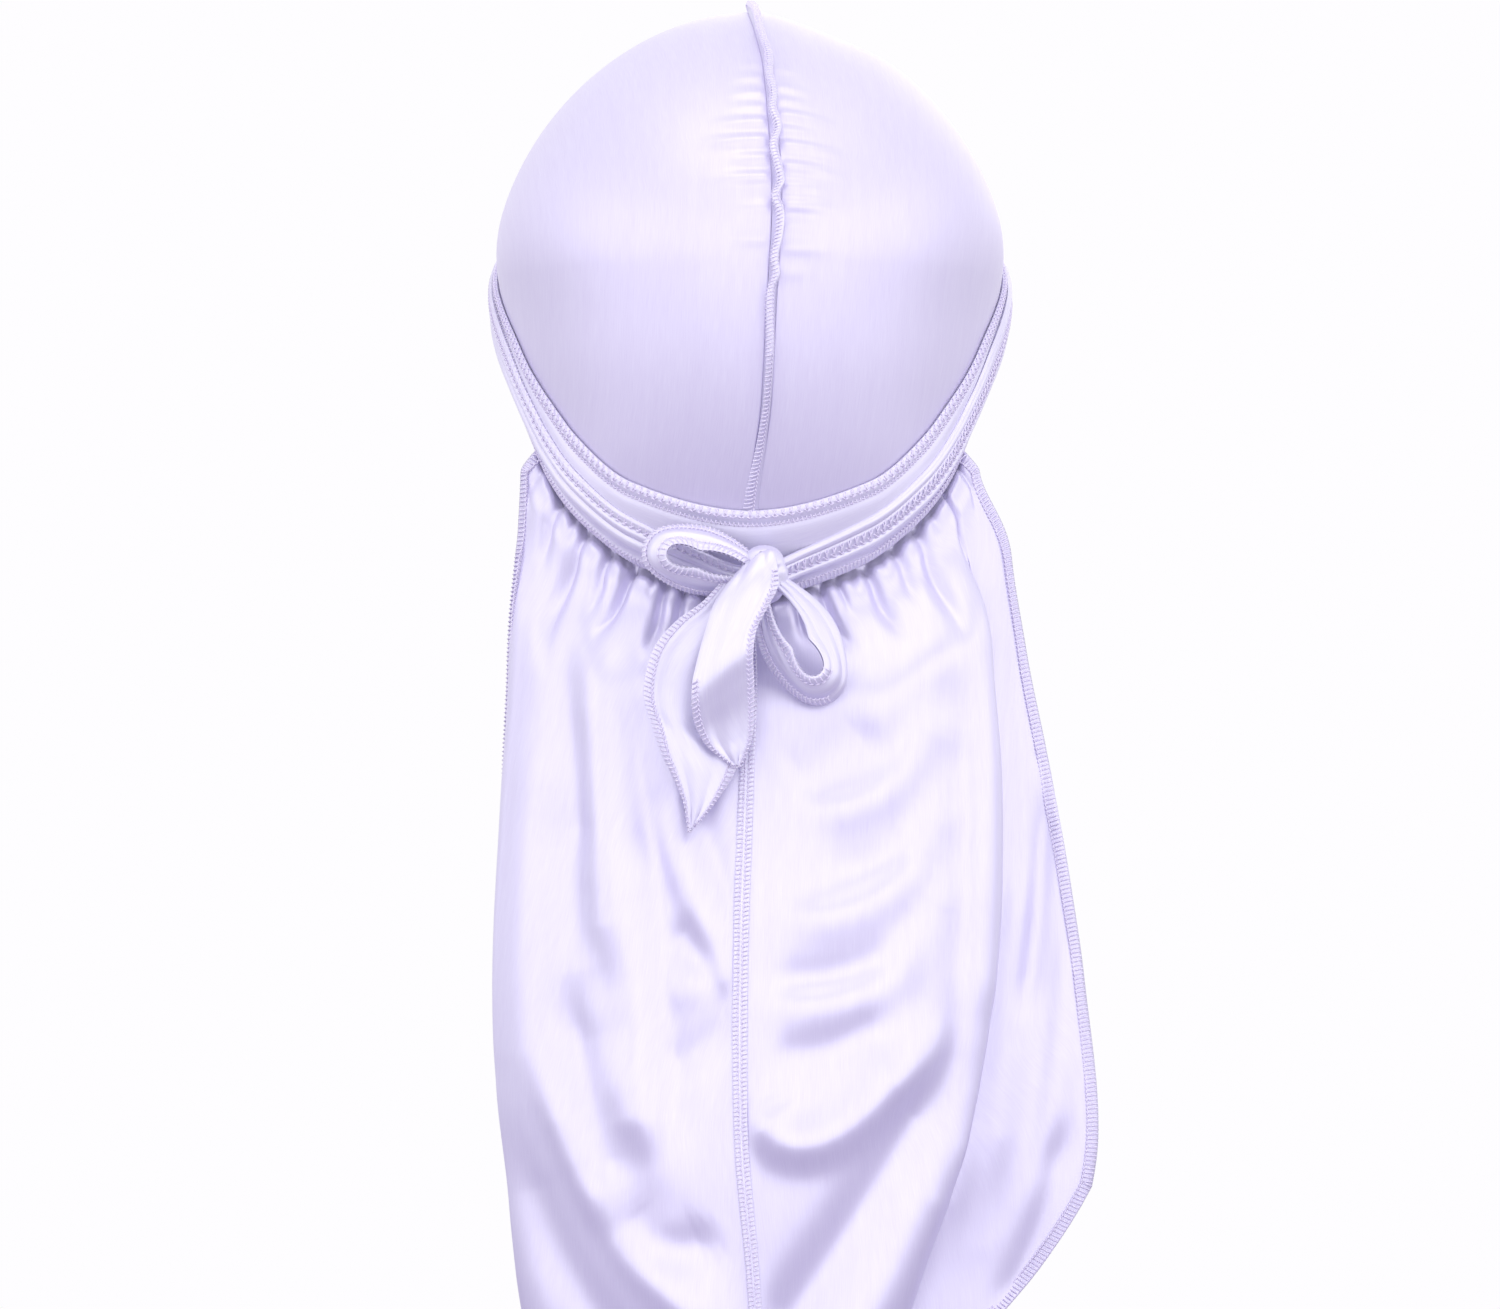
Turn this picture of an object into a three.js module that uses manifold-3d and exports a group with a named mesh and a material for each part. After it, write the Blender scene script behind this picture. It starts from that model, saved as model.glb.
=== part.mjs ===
// A satin durag as it is worn: a cap of two panels stretched over the head, a nape band, two straps that
// cross on the forehead and are tied in a bow at the nape, and a long tail gathered into the band.
// Millimetres. +X is the right as seen from behind, +Y goes to the front, +Z up. The origin is the middle of
// the head at its widest level. Every piece is a wall of cloth with a small gap to its neighbours.
import * as THREE from "three";
import Module from "manifold-3d";

const wasm = await Module();
wasm.setup();

// The head that the cap is stretched over, measured from the origin.
const HEAD_HALF_WIDTH = 81.3;
const HEAD_BACK = 94;
const HEAD_FRONT = 102;
const HEAD_RISE = 84;
const HEAD_DROP = 150;
const VERTEX_POWER = 1.85;
const NAPE_POWER = 2;
const TEMPLE_SQUEEZE = 4;
const SQUEEZE_LEVELS = { low: -0.74, full: -0.33, fading: -0.095, top: 0.165 };
const VERTEX_DIP = 2.2;
const VERTEX_DIP_AT = 26;

// Cloth, bands and the room between pieces.
const CLOTH = 1.2;
const STRAP_THICKNESS = 1.4;
const GAP = 0.6;
const SEAT_GAP = 0.3;

// Seams.
const CROWN_SEAM_WIDTH = 2.8;
const CROWN_SEAM_ROOM = 0.45;
const CROWN_SEAM_HEIGHT = 4.4;
const CROWN_SEAM_LEAN = 1.5;
const CROWN_SEAM_DRIFT = 7.5;
const CROWN_SEAM_TUCK = 16;
const PUCKER_HEIGHT = 1.1;
const PUCKER_START = 3;
const PUCKER_REACH = 24;
const TAIL_SEAM_WIDTH = 4;
const TAIL_SEAM_THICKNESS = 1.6;

// Straps and bow.
const BAND_END = 115;
const STRAP_HALF_WIDTH = 6.5;
const KNOT_HALF_WIDTH = 7;
const KNOT_HALF_HEIGHT = 9;
const KNOT_HALF_DEPTH = 5;
const KNOT_LAYER = 7.5;
const LOOP_LENGTH = 34;
const LOOP_HALF_WIDTH = 5.5;
const STRAP_END_DROP = 78;
const STRAP_END_HALF_WIDTH = 9;

// Tail.
const TAIL_TURN = 62;
const TAIL_DROP = 250;
const TAIL_HALF_WIDTH = 100;
const TAIL_CORNER = 67;
const TAIL_FLARE = 3.5;
const TAIL_TUCK_OUT = 1.6;
const TAIL_TOP_ROOM = 2;
const GATHER_HEIGHT = 2.4;
const FOLD_HEIGHT = 6;

const SATIN = { color: 0xe2d6f6, roughness: 0.35, metalness: 0 };
const THREAD = { color: 0xd9cdf0, roughness: 0.6, metalness: 0 };

const RADIANS = Math.PI / 180;
const UNMERGED = 1e-3;

// The middle line of the band round the head. turn: degrees from the nape. rise and half: its height above
// the origin and half its own height, as shares of the head's rise.
const BAND_COURSE = [
  { turn: 0, rise: -1.05, half: 0.152 },
  { turn: 30, rise: -0.938, half: 0.148 },
  { turn: 45, rise: -0.783, half: 0.152 },
  { turn: 55, rise: -0.631, half: 0.148 },
  { turn: 62, rise: -0.5, half: 0.125 },
  { turn: 72, rise: -0.32, half: 0.107 },
  { turn: 90, rise: -0.11, half: 0.101 },
  { turn: 115, rise: 0.1, half: 0.1 },
  { turn: 140, rise: 0.19, half: 0.085 },
  { turn: 180, rise: 0.21, half: 0.08 },
];

// A strap on its way round. travel: degrees from the nape on its own side, so 180 is the forehead and 360 the
// nape again. lift: how far it lies above the band's course, as a share of the head's rise. under and over:
// its layer on the cap, for the strap that passes under at the forehead and for the one that passes over.
// half: half its width, as a share of the strap's.
const STRAP_COURSE = [
  { travel: 115.4, lift: 0, under: 1, over: 1, half: 1.2 },
  { travel: 135, lift: 0, under: 1, over: 1, half: 1 },
  { travel: 149, lift: 0, under: 1, over: 1, half: 1 },
  { travel: 158, lift: 0.004, under: 1, over: 2, half: 1 },
  { travel: 180, lift: 0.083, under: 1, over: 2, half: 1 },
  { travel: 201, lift: 0.162, under: 1, over: 2, half: 1 },
  { travel: 212, lift: 0.164, under: 2, over: 2, half: 1 },
  { travel: 245, lift: 0.025, under: 2, over: 2, half: 0.95 },
  { travel: 290, lift: -0.02, under: 2, over: 2, half: 0.9 },
  { travel: 305, lift: -0.042, under: 2, over: 2, half: 0.85 },
  { travel: 322, lift: -0.045, under: 2, over: 2, half: 0.8 },
  { travel: 335, lift: -0.065, under: 2, over: 2, half: 0.72 },
  { travel: 347, lift: -0.075, under: 2.4, over: 2.4, half: 0.6 },
  { travel: 360, lift: -0.05, under: 6, over: 6, half: 0.5 },
];

// The crown seam wanders to the right on its way. at: share of its length from the nape. shift: how
// far it is off the middle, as a share of its drift.
const SEAM_COURSE = [
  { at: 0, shift: 0 },
  { at: 0.04, shift: 0.06 },
  { at: 0.08, shift: 0.36 },
  { at: 0.12, shift: 0.6 },
  { at: 0.2, shift: 0.8 },
  { at: 0.3, shift: 1 },
  { at: 0.4, shift: 0.82 },
  { at: 0.46, shift: 0.66 },
  { at: 0.52, shift: 0.38 },
  { at: 0.58, shift: 0.16 },
  { at: 0.7, shift: 0.03 },
  { at: 1, shift: 0 },
];

// Puckers that run sideways from the crown seam. side: 1 is the right. at: share of the seam's
// length from the nape. height and reach: shares of the largest pucker's.
const PUCKERS = [
  { side: -1, at: 0.318, height: 0.9, reach: 0.9 },
  { side: -1, at: 0.337, height: 0.6, reach: 0.7 },
  { side: -1, at: 0.356, height: 1, reach: 1 },
  { side: -1, at: 0.376, height: 0.8, reach: 0.9 },
  { side: -1, at: 0.412, height: 0.5, reach: 0.6 },
  { side: 1, at: 0.254, height: 0.7, reach: 0.7 },
  { side: 1, at: 0.292, height: 0.8, reach: 0.9 },
  { side: 1, at: 0.31, height: 0.6, reach: 0.7 },
  { side: 1, at: 0.329, height: 1, reach: 1 },
  { side: 1, at: 0.351, height: 1, reach: 1 },
  { side: 1, at: 0.386, height: 0.8, reach: 0.9 },
  { side: 1, at: 0.422, height: 0.5, reach: 0.6 },
];
const PUCKER_HALF_WIDTH = 2.6;

// The tail seen from above, level by level. down: share of the tail's drop below the band. Each pair is a
// place across the cloth: x as a share of the tail's half width, y as a share of the head's back.
const TAIL_LEVELS = [
  { down: -0.1, hemL: [-0.755, -0.42], rollL: [-0.735, -0.48], midL: [-0.38, -0.76], seam: [0.01, -0.84],
    midR: [0.38, -0.76], crestR: [0.69, -0.54], tuckR: [0.7, -0.48], hemR: [0.79, -0.43] },
  { down: 0.07, hemL: [-0.765, -0.44], rollL: [-0.745, -0.54], midL: [-0.4, -0.84], seam: [0.005, -0.9],
    midR: [0.41, -0.85], crestR: [0.74, -0.68], tuckR: [0.69, -0.56], hemR: [0.86, -0.46] },
  { down: 0.27, hemL: [-0.735, -0.5], rollL: [-0.77, -0.64], midL: [-0.42, -0.93], seam: [-0.015, -0.98],
    midR: [0.44, -0.94], crestR: [0.755, -0.78], tuckR: [0.67, -0.63], hemR: [0.96, -0.53] },
  { down: 0.47, hemL: [-0.69, -0.53], rollL: [-0.785, -0.71], midL: [-0.42, -1.0], seam: [-0.03, -1.06],
    midR: [0.44, -1.02], crestR: [0.73, -0.85], tuckR: [0.63, -0.7], hemR: [1.02, -0.6] },
  { down: 0.67, hemL: [-0.63, -0.56], rollL: [-0.76, -0.77], midL: [-0.4, -1.07], seam: [-0.025, -1.11],
    midR: [0.41, -1.08], crestR: [0.64, -0.92], tuckR: [0.55, -0.76], hemR: [1.075, -0.67] },
  { down: 0.83, hemL: [-0.57, -0.58], rollL: [-0.69, -0.81], midL: [-0.38, -1.1], seam: [0.01, -1.13],
    midR: [0.36, -1.11], crestR: [0.51, -0.98], tuckR: [0.45, -0.82], hemR: [1.05, -0.7] },
  { down: 1.0, hemL: [-0.5, -0.6], rollL: [-0.6, -0.84], midL: [-0.34, -1.12], seam: [0.03, -1.14],
    midR: [0.3, -1.13], crestR: [0.42, -1.02], tuckR: [0.38, -0.87], hemR: [1.0, -0.72] },
];
// Where across the cloth each of those places is, from -1 at the left hem to 1 at the right.
const TAIL_PLACES = { hemL: -1, rollL: -0.84, midL: -0.45, seam: 0, midR: 0.42, crestR: 0.7, tuckR: 0.79, hemR: 1 };

// Gathers under the band. at: place across. height: share of the deepest gather's. length: how far down it
// runs, as a share of the drop. drift: how far it leans across on the way.
const GATHERS = [
  { at: -0.9, height: 0.7, length: 0.16, drift: 0.02 },
  { at: -0.76, height: 1, length: 0.24, drift: 0.03 },
  { at: -0.62, height: 0.8, length: 0.16, drift: 0.03 },
  { at: -0.49, height: 1, length: 0.28, drift: 0.02 },
  { at: -0.35, height: 0.8, length: 0.2, drift: 0.02 },
  { at: -0.21, height: 0.9, length: 0.24, drift: 0.01 },
  { at: 0.1, height: 0.7, length: 0.16, drift: 0 },
  { at: 0.24, height: 0.9, length: 0.2, drift: -0.01 },
  { at: 0.37, height: 1, length: 0.24, drift: -0.02 },
  { at: 0.5, height: 0.8, length: 0.2, drift: 0 },
  { at: 0.63, height: 1, length: 0.26, drift: 0.02 },
  { at: 0.87, height: 0.7, length: 0.2, drift: 0 },
];
const GATHER_HALF_SPAN = 0.05;

// The main folds lower down, as seen from behind. A fold runs from one point through a second to a third, each
// [across as a share of the tail's half width, down as a share of its drop]. half: half its width, as a share
// of the half width. height: share of the highest fold's, and below zero for a valley.
const FOLDS = [
  { from: [-0.4, 0.05], via: [-0.36, 0.4], to: [-0.16, 0.75], half: 0.09, height: 0.8 },
  { from: [-0.6, 0.2], via: [-0.5, 0.5], to: [-0.2, 0.85], half: 0.08, height: 0.7 },
  { from: [-0.46, 0.05], via: [-0.44, 0.4], to: [-0.3, 0.7], half: 0.06, height: -0.6 },
  { from: [-0.4, 0.78], via: [-0.22, 0.86], to: [-0.08, 0.78], half: 0.07, height: -0.9 },
  { from: [-0.66, 0.6], via: [-0.52, 0.85], to: [-0.15, 0.97], half: 0.08, height: 0.7 },
  { from: [0.1, 0.75], via: [0.3, 0.72], to: [0.62, 0.4], half: 0.1, height: -0.9 },
  { from: [0.05, 0.58], via: [0.3, 0.62], to: [0.6, 0.3], half: 0.08, height: 0.7 },
  { from: [0.1, 0.33], via: [0.3, 0.38], to: [0.5, 0.24], half: 0.07, height: -0.5 },
  { from: [0.1, 0.9], via: [0.3, 0.92], to: [0.55, 0.6], half: 0.09, height: 0.6 },
  { from: [0.84, 0.3], via: [0.86, 0.5], to: [0.8, 0.8], half: 0.06, height: 0.6 },
];

// Bow loops, row by row from the knot and back to it. along: down the loop's own line, wide: across it, both
// as shares of its length. The cloth is gathered to a share, half, of the loop's half width.
const LOOP_ROWS = [
  { along: 0.02, wide: 0.02, half: 0.6 },
  { along: 0.22, wide: 0.15, half: 0.85 },
  { along: 0.48, wide: 0.235, half: 1 },
  { along: 0.76, wide: 0.22, half: 1 },
  { along: 0.94, wide: 0.13, half: 1 },
  { along: 1.0, wide: 0, half: 1 },
  { along: 0.94, wide: -0.13, half: 1 },
  { along: 0.76, wide: -0.22, half: 1 },
  { along: 0.48, wide: -0.235, half: 0.95 },
  { along: 0.22, wide: -0.15, half: 0.8 },
  { along: 0.02, wide: -0.02, half: 0.6 },
];

// The free strap ends. x, y and z: the middle line from the knot's middle, as shares of the ends' drop. left
// and right: how far the cloth reaches to each side, as shares of its half width.
const END_RIGHT_ROWS = [
  { x: 0.01, y: -0.055, z: 0.04, left: 0.35, right: 0.5 },
  { x: -0.03, y: -0.11, z: -0.04, left: 0.75, right: 0.7 },
  { x: -0.11, y: -0.13, z: -0.2, left: 0.95, right: 0.9 },
  { x: -0.18, y: -0.13, z: -0.4, left: 1, right: 1 },
  { x: -0.19, y: -0.15, z: -0.56, left: 1, right: 1.05 },
  { x: -0.12, y: -0.17, z: -0.68, left: 0.8, right: 0.55 },
  { x: -0.06, y: -0.18, z: -0.775, left: 0.15, right: 0.15 },
];
const END_LEFT_ROWS = [
  { x: -0.05, y: -0.02, z: -0.08, left: 0.3, right: 0.25 },
  { x: -0.15, y: -0.04, z: -0.17, left: 0.45, right: 0.5 },
  { x: -0.28, y: -0.06, z: -0.29, left: 0.8, right: 0.8 },
  { x: -0.36, y: -0.07, z: -0.44, left: 0.95, right: 0.95 },
  { x: -0.34, y: -0.085, z: -0.6, left: 0.95, right: 1 },
  { x: -0.27, y: -0.1, z: -0.78, left: 0.7, right: 0.9 },
  { x: -0.25, y: -0.12, z: -0.98, left: 0.12, right: 0.12 },
];

// One column of a table at any value of its key, on a smooth curve that is level at both ends.
function smooth(rows, key, column, at) {
  const last = rows.length - 1;
  if (at <= rows[0][key]) return rows[0][column];
  if (at >= rows[last][key]) return rows[last][column];
  const i = rows.findIndex((row) => row[key] > at) - 1;
  const slope = (k) =>
    k <= 0 || k >= last
      ? 0
      : (rows[k + 1][column] - rows[k - 1][column]) / (rows[k + 1][key] - rows[k - 1][key]);
  const span = rows[i + 1][key] - rows[i][key];
  const t = (at - rows[i][key]) / span;
  const [t2, t3] = [t * t, t * t * t];
  return (
    rows[i][column] * (2 * t3 - 3 * t2 + 1) +
    rows[i + 1][column] * (3 * t2 - 2 * t3) +
    span * (slope(i) * (t3 - 2 * t2 + t) + slope(i + 1) * (t3 - t2))
  );
}

// A smooth step from 0 to 1 between two values.
function step(low, high, value) {
  const t = THREE.MathUtils.clamp((value - low) / (high - low), 0, 1);
  return t * t * (3 - 2 * t);
}

// A round bump, 1 in the middle and 0 beyond one half width.
const bump = (offset, halfWidth) =>
  Math.abs(offset) >= halfWidth ? 0 : Math.cos((Math.PI / 2) * (offset / halfWidth)) ** 2;

const evenly = (from, to, count) =>
  Array.from({ length: count + 1 }, (_, i) => from + ((to - from) * i) / count);

// Half the head's width at a height: the bands press it in at the temples. The levels of the squeeze are shares
// of the head's rise.
function halfWidth(z) {
  const { low, full, fading, top } = SQUEEZE_LEVELS;
  const rise = z / HEAD_RISE;
  return HEAD_HALF_WIDTH - TEMPLE_SQUEEZE * step(low, full, rise) * (1 - step(fading, top, rise));
}

// How far out a point lies on the head form: under 1 inside and over 1 outside.
function headLevel({ x, y, z }) {
  const flat = Math.hypot(x / halfWidth(z), y / (y < 0 ? HEAD_BACK : HEAD_FRONT));
  const rise = HEAD_RISE - VERTEX_DIP * bump(x - VERTEX_DIP_AT, VERTEX_DIP_AT);
  const [power, reach] = z > 0 ? [VERTEX_POWER, rise] : [NAPE_POWER, HEAD_DROP];
  return flat ** power + (Math.abs(z) / reach) ** power;
}

// The outward normal of the head form at a point.
function headNormal(p) {
  const h = 0.05;
  const change = (axis) => {
    const [a, b] = [p.clone(), p.clone()];
    a[axis] += h;
    b[axis] -= h;
    return headLevel(a) - headLevel(b);
  };
  return new THREE.Vector3(change("x"), change("y"), change("z")).normalize();
}

// The point of the head form at a turn from the nape, in degrees, and a height, moved out by some cloth.
function headPoint(turn, z, out) {
  const [power, reach] = z > 0 ? [VERTEX_POWER, HEAD_RISE] : [NAPE_POWER, HEAD_DROP];
  const shrink = (1 - (Math.abs(z) / reach) ** power) ** (1 / power);
  const [sin, cos] = [Math.sin(turn * RADIANS), Math.cos(turn * RADIANS)];
  const length = cos > 0 ? HEAD_BACK : HEAD_FRONT;
  const p = new THREE.Vector3(halfWidth(z) * shrink * sin, -length * shrink * cos, z);
  return p.clone().addScaledVector(headNormal(p), out);
}

// The point where a ray from a place inside the head meets the head form.
function headAlong(from, direction) {
  let [near, far] = [0, HEAD_BACK + HEAD_FRONT];
  for (let i = 0; i < 40; i++) {
    const middle = (near + far) / 2;
    if (headLevel(from.clone().addScaledVector(direction, middle)) < 1) near = middle;
    else far = middle;
  }
  return from.clone().addScaledVector(direction, near);
}

const bandMiddle = (turn) => HEAD_RISE * smooth(BAND_COURSE, "turn", "rise", Math.abs(turn));
const bandHalf = (turn) => HEAD_RISE * smooth(BAND_COURSE, "turn", "half", Math.abs(turn));
const layerMiddle = (layer) => CLOTH + GAP + STRAP_THICKNESS / 2 + (layer - 1) * (STRAP_THICKNESS + GAP);

// A closed wall between two grids of points, with its four edges closed. Faces are turned to point outwards.
function wallBetween(outer, inner) {
  const [rows, columns] = [outer.length, outer[0].length];
  const positions = [];
  for (const grid of [outer, inner]) for (const row of grid) for (const p of row) positions.push(p.x, p.y, p.z);
  const at = (side, i, j) => side * rows * columns + i * columns + j;
  const faces = [];
  const quad = (a, b, c, d) => faces.push([a, b, c], [a, c, d]);
  for (let i = 0; i < rows - 1; i++)
    for (let j = 0; j < columns - 1; j++) {
      quad(at(0, i, j), at(0, i + 1, j), at(0, i + 1, j + 1), at(0, i, j + 1));
      quad(at(1, i, j), at(1, i, j + 1), at(1, i + 1, j + 1), at(1, i + 1, j));
    }
  for (let j = 0; j < columns - 1; j++) {
    quad(at(0, 0, j), at(0, 0, j + 1), at(1, 0, j + 1), at(1, 0, j));
    quad(at(0, rows - 1, j + 1), at(0, rows - 1, j), at(1, rows - 1, j), at(1, rows - 1, j + 1));
  }
  for (let i = 0; i < rows - 1; i++) {
    quad(at(0, i + 1, 0), at(0, i, 0), at(1, i, 0), at(1, i + 1, 0));
    quad(at(0, i, columns - 1), at(0, i + 1, columns - 1), at(1, i + 1, columns - 1), at(1, i, columns - 1));
  }
  return closedGeometry(positions, faces);
}

// A geometry from points and faces, without the faces that have shrunk to a line, and facing outwards.
function closedGeometry(positions, faces) {
  const point = (k) => new THREE.Vector3().fromArray(positions, 3 * k);
  const apart = (a, b) => point(a).distanceTo(point(b)) > UNMERGED;
  const kept = faces.filter(([a, b, c]) => apart(a, b) && apart(b, c) && apart(c, a));
  const volume = kept.reduce((sum, [a, b, c]) => sum + point(a).dot(point(b).cross(point(c))), 0);
  const turned = volume < 0 ? kept.map(([a, b, c]) => [a, c, b]) : kept;
  return new THREE.BufferGeometry()
    .setAttribute("position", new THREE.Float32BufferAttribute(positions, 3))
    .setIndex(turned.flat());
}

// The normal of a grid of points at one of them, from its neighbours.
function gridNormal(grid, i, j) {
  const [rows, columns] = [grid.length, grid[0].length];
  const down = grid[Math.min(i + 1, rows - 1)][j].clone().sub(grid[Math.max(i - 1, 0)][j]);
  const across = grid[i][Math.min(j + 1, columns - 1)].clone().sub(grid[i][Math.max(j - 1, 0)]);
  return across.cross(down).normalize();
}

// A wall of cloth of even thickness about a grid of points in its middle.
function clothWall(grid, thickness) {
  const shifted = (distance) =>
    grid.map((row, i) => row.map((p, j) => p.clone().addScaledVector(gridNormal(grid, i, j), distance)));
  return wallBetween(shifted(thickness / 2), shifted(-thickness / 2));
}

// manifold-3d only cuts one closed geometry by another.
function toManifold(geometry) {
  const { array } = geometry.getAttribute("position");
  const ids = new Map();
  const vertices = [];
  const triangles = Array.from(geometry.getIndex().array, (k) => {
    const place = [array[3 * k], array[3 * k + 1], array[3 * k + 2]];
    const name = place.map((value) => Math.round(value / UNMERGED)).join();
    if (!ids.has(name)) {
      ids.set(name, ids.size);
      vertices.push(...place);
    }
    return ids.get(name);
  });
  return new wasm.Manifold(
    new wasm.Mesh({
      numProp: 3,
      vertProperties: new Float32Array(vertices),
      triVerts: new Uint32Array(triangles),
    }),
  );
}

function cutBy(geometry, ...tools) {
  const cut = tools.reduce((left, tool) => left.subtract(toManifold(tool)), toManifold(geometry));
  const largest = cut.decompose().sort((a, b) => b.volume() - a.volume())[0];
  const mesh = largest.getMesh();
  return new THREE.BufferGeometry()
    .setAttribute("position", new THREE.BufferAttribute(Float32Array.from(mesh.vertProperties), 3))
    .setIndex(Array.from(mesh.triVerts));
}

const model = new THREE.Group();

function addPiece(name, geometry, finish) {
  const mesh = new THREE.Mesh(geometry, new THREE.MeshStandardMaterial(finish));
  mesh.name = name;
  model.add(mesh);
  return mesh;
}

// Crown. Lines of the panels run front to back beside the seam and sideways down to the rim. The lines that
// run sideways all meet at the middle of the rim's side, so a direction is an angle along the seam and an
// angle away from it, from a point in the middle of the head at the height of that place.
const SIDE_TURN = 90;
const crownMiddle = new THREE.Vector3(0, 0, bandMiddle(SIDE_TURN));
const rimHeight = (turn) => bandMiddle(turn) + GAP;
const turnOf = ({ x, y }) =>
  Math.atan2(Math.abs(x) / HEAD_HALF_WIDTH, -y / (y < 0 ? HEAD_BACK : HEAD_FRONT)) / RADIANS;

function crownDirection(along, away) {
  const [sin, cos] = [Math.sin(away * RADIANS), Math.cos(away * RADIANS)];
  return new THREE.Vector3(sin, -cos * Math.cos(along * RADIANS), cos * Math.sin(along * RADIANS));
}

// The angle along the seam where the panel ends on the rim, searched for between two angles.
function rimAngle(away, below, above) {
  for (let i = 0; i < 40; i++) {
    const middle = (below + above) / 2;
    const p = headAlong(crownMiddle, crownDirection(middle, away));
    if (p.z < rimHeight(turnOf(p))) below = middle;
    else above = middle;
  }
  return above;
}

const BACK_OF_TOP = 90;
const rimAngles = (away) => ({
  back: rimAngle(away, -BACK_OF_TOP, BACK_OF_TOP),
  front: rimAngle(away, 3 * BACK_OF_TOP, BACK_OF_TOP),
});

const seamShift = (share) => CROWN_SEAM_DRIFT * smooth(SEAM_COURSE, "at", "shift", share);
const seamAngles = rimAngles(0);
const seamRadius = (HEAD_BACK + HEAD_RISE) / 2;

function crownPoint(share, away, out) {
  const rim = rimAngles(Math.abs(away));
  const p = headAlong(crownMiddle, crownDirection(rim.back + share * (rim.front - rim.back), away));
  return p.clone().addScaledVector(headNormal(p), out);
}

const CROWN_AWAY = [0, 0.045, 0.11, 0.19, 0.3, 0.43, 0.57, 0.7, 0.82, 0.92, 1];
const CROWN_ROWS = 23;
const seamLength = (seamAngles.front - seamAngles.back) * RADIANS * seamRadius;

function crownShares(side) {
  const puckerHalf = PUCKER_HALF_WIDTH / seamLength;
  const own = PUCKERS.filter((pucker) => pucker.side === side).flatMap(({ at }) => [
    at - puckerHalf,
    at,
    at + puckerHalf,
  ]);
  const even = evenly(0, 1, CROWN_ROWS).filter((share) => own.every((at) => Math.abs(at - share) > puckerHalf));
  return [...own, ...even].sort((a, b) => a - b);
}

function crownPanel(side) {
  const shares = crownShares(side);
  const lift = (share, away) =>
    PUCKERS.filter((pucker) => pucker.side === side).reduce(
      (sum, { at, height, reach }) =>
        sum +
        PUCKER_HEIGHT *
          height *
          bump((share - at) * seamLength, PUCKER_HALF_WIDTH) *
          step(0, PUCKER_START, away) *
          (1 - step(PUCKER_START, PUCKER_REACH * reach, away)),
      0,
    );
  const surface = (out) =>
    shares.map((share) => {
      const edge = (seamShift(share) + (side * CROWN_SEAM_WIDTH) / 2) / seamRadius / RADIANS;
      return CROWN_AWAY.map((portion) => {
        const away = edge + (side * 90 - edge) * portion;
        const fromSeam = Math.abs(away - edge) * RADIANS * seamRadius;
        return crownPoint(share, away, out + lift(share, fromSeam));
      });
    });
  return wallBetween(surface(CLOTH), surface(0));
}

addPiece("crown_left", crownPanel(-1), SATIN);
addPiece("crown_right", crownPanel(1), SATIN);

// Crown seam: the two seam allowances stand up together as a ridge that leans from side to side, and lie flat
// under the bands at both ends. A part of 1 is the cloth's outer face and 2 the top of the ridge.
const SEAM_WAVES = 13;

function crownSeam() {
  const half = CROWN_SEAM_WIDTH / 2 - CROWN_SEAM_ROOM;
  const ridge = (share, across, part) => {
    const fromEnd = Math.min(share, 1 - share) * seamLength;
    const standing = (CROWN_SEAM_HEIGHT - CLOTH) * step(CROWN_SEAM_TUCK, 1.6 * CROWN_SEAM_TUCK, fromEnd);
    const height = Math.min(part, 1) * CLOTH + Math.max(part - 1, 0) * standing;
    const lean = CROWN_SEAM_LEAN * Math.sin(2 * Math.PI * SEAM_WAVES * share) * bump(share - 0.45, 0.4);
    const tilt = lean * Math.max(0, (height - CLOTH) / (CROWN_SEAM_HEIGHT - CLOTH));
    const away = (seamShift(share) + across + tilt) / seamRadius / RADIANS;
    return crownPoint(share, away, height);
  };
  const stations = evenly(0, 1, 4 * SEAM_WAVES);
  const side = (across) =>
    stations.map((share) => [
      ridge(share, across * half, 0),
      ridge(share, across * half, 1),
      ridge(share, across * half * 0.8, 2),
    ]);
  return wallBetween(side(1), side(-1));
}

addPiece("crown_seam", crownSeam(), THREAD);

// A strip of cloth that lies on the head along a course of stations.
function headStrip(stations, columns) {
  return stations.map(({ turn, z, half, out }) =>
    evenly(-1, 1, columns).map((across) => headPoint(turn, z + across * half, out)),
  );
}

// Nape band: the sewn stretch of the straps, from temple to temple round the nape.
const BAND_STEPS = 40;
const bandStations = evenly(-BAND_END, BAND_END, BAND_STEPS).map((turn) => ({
  turn,
  z: bandMiddle(turn),
  half: bandHalf(turn),
  out: layerMiddle(1),
}));

addPiece("nape_band", clothWall(headStrip(bandStations, 4), STRAP_THICKNESS), SATIN);

// Knot: the wrapped middle of the bow, on top of the straps where they meet.
const KNOT_TURN = 3;
const knotHeight = bandMiddle(0) - 0.01 * HEAD_RISE;
const knotMiddle = headPoint(KNOT_TURN, knotHeight, layerMiddle(KNOT_LAYER));

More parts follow.
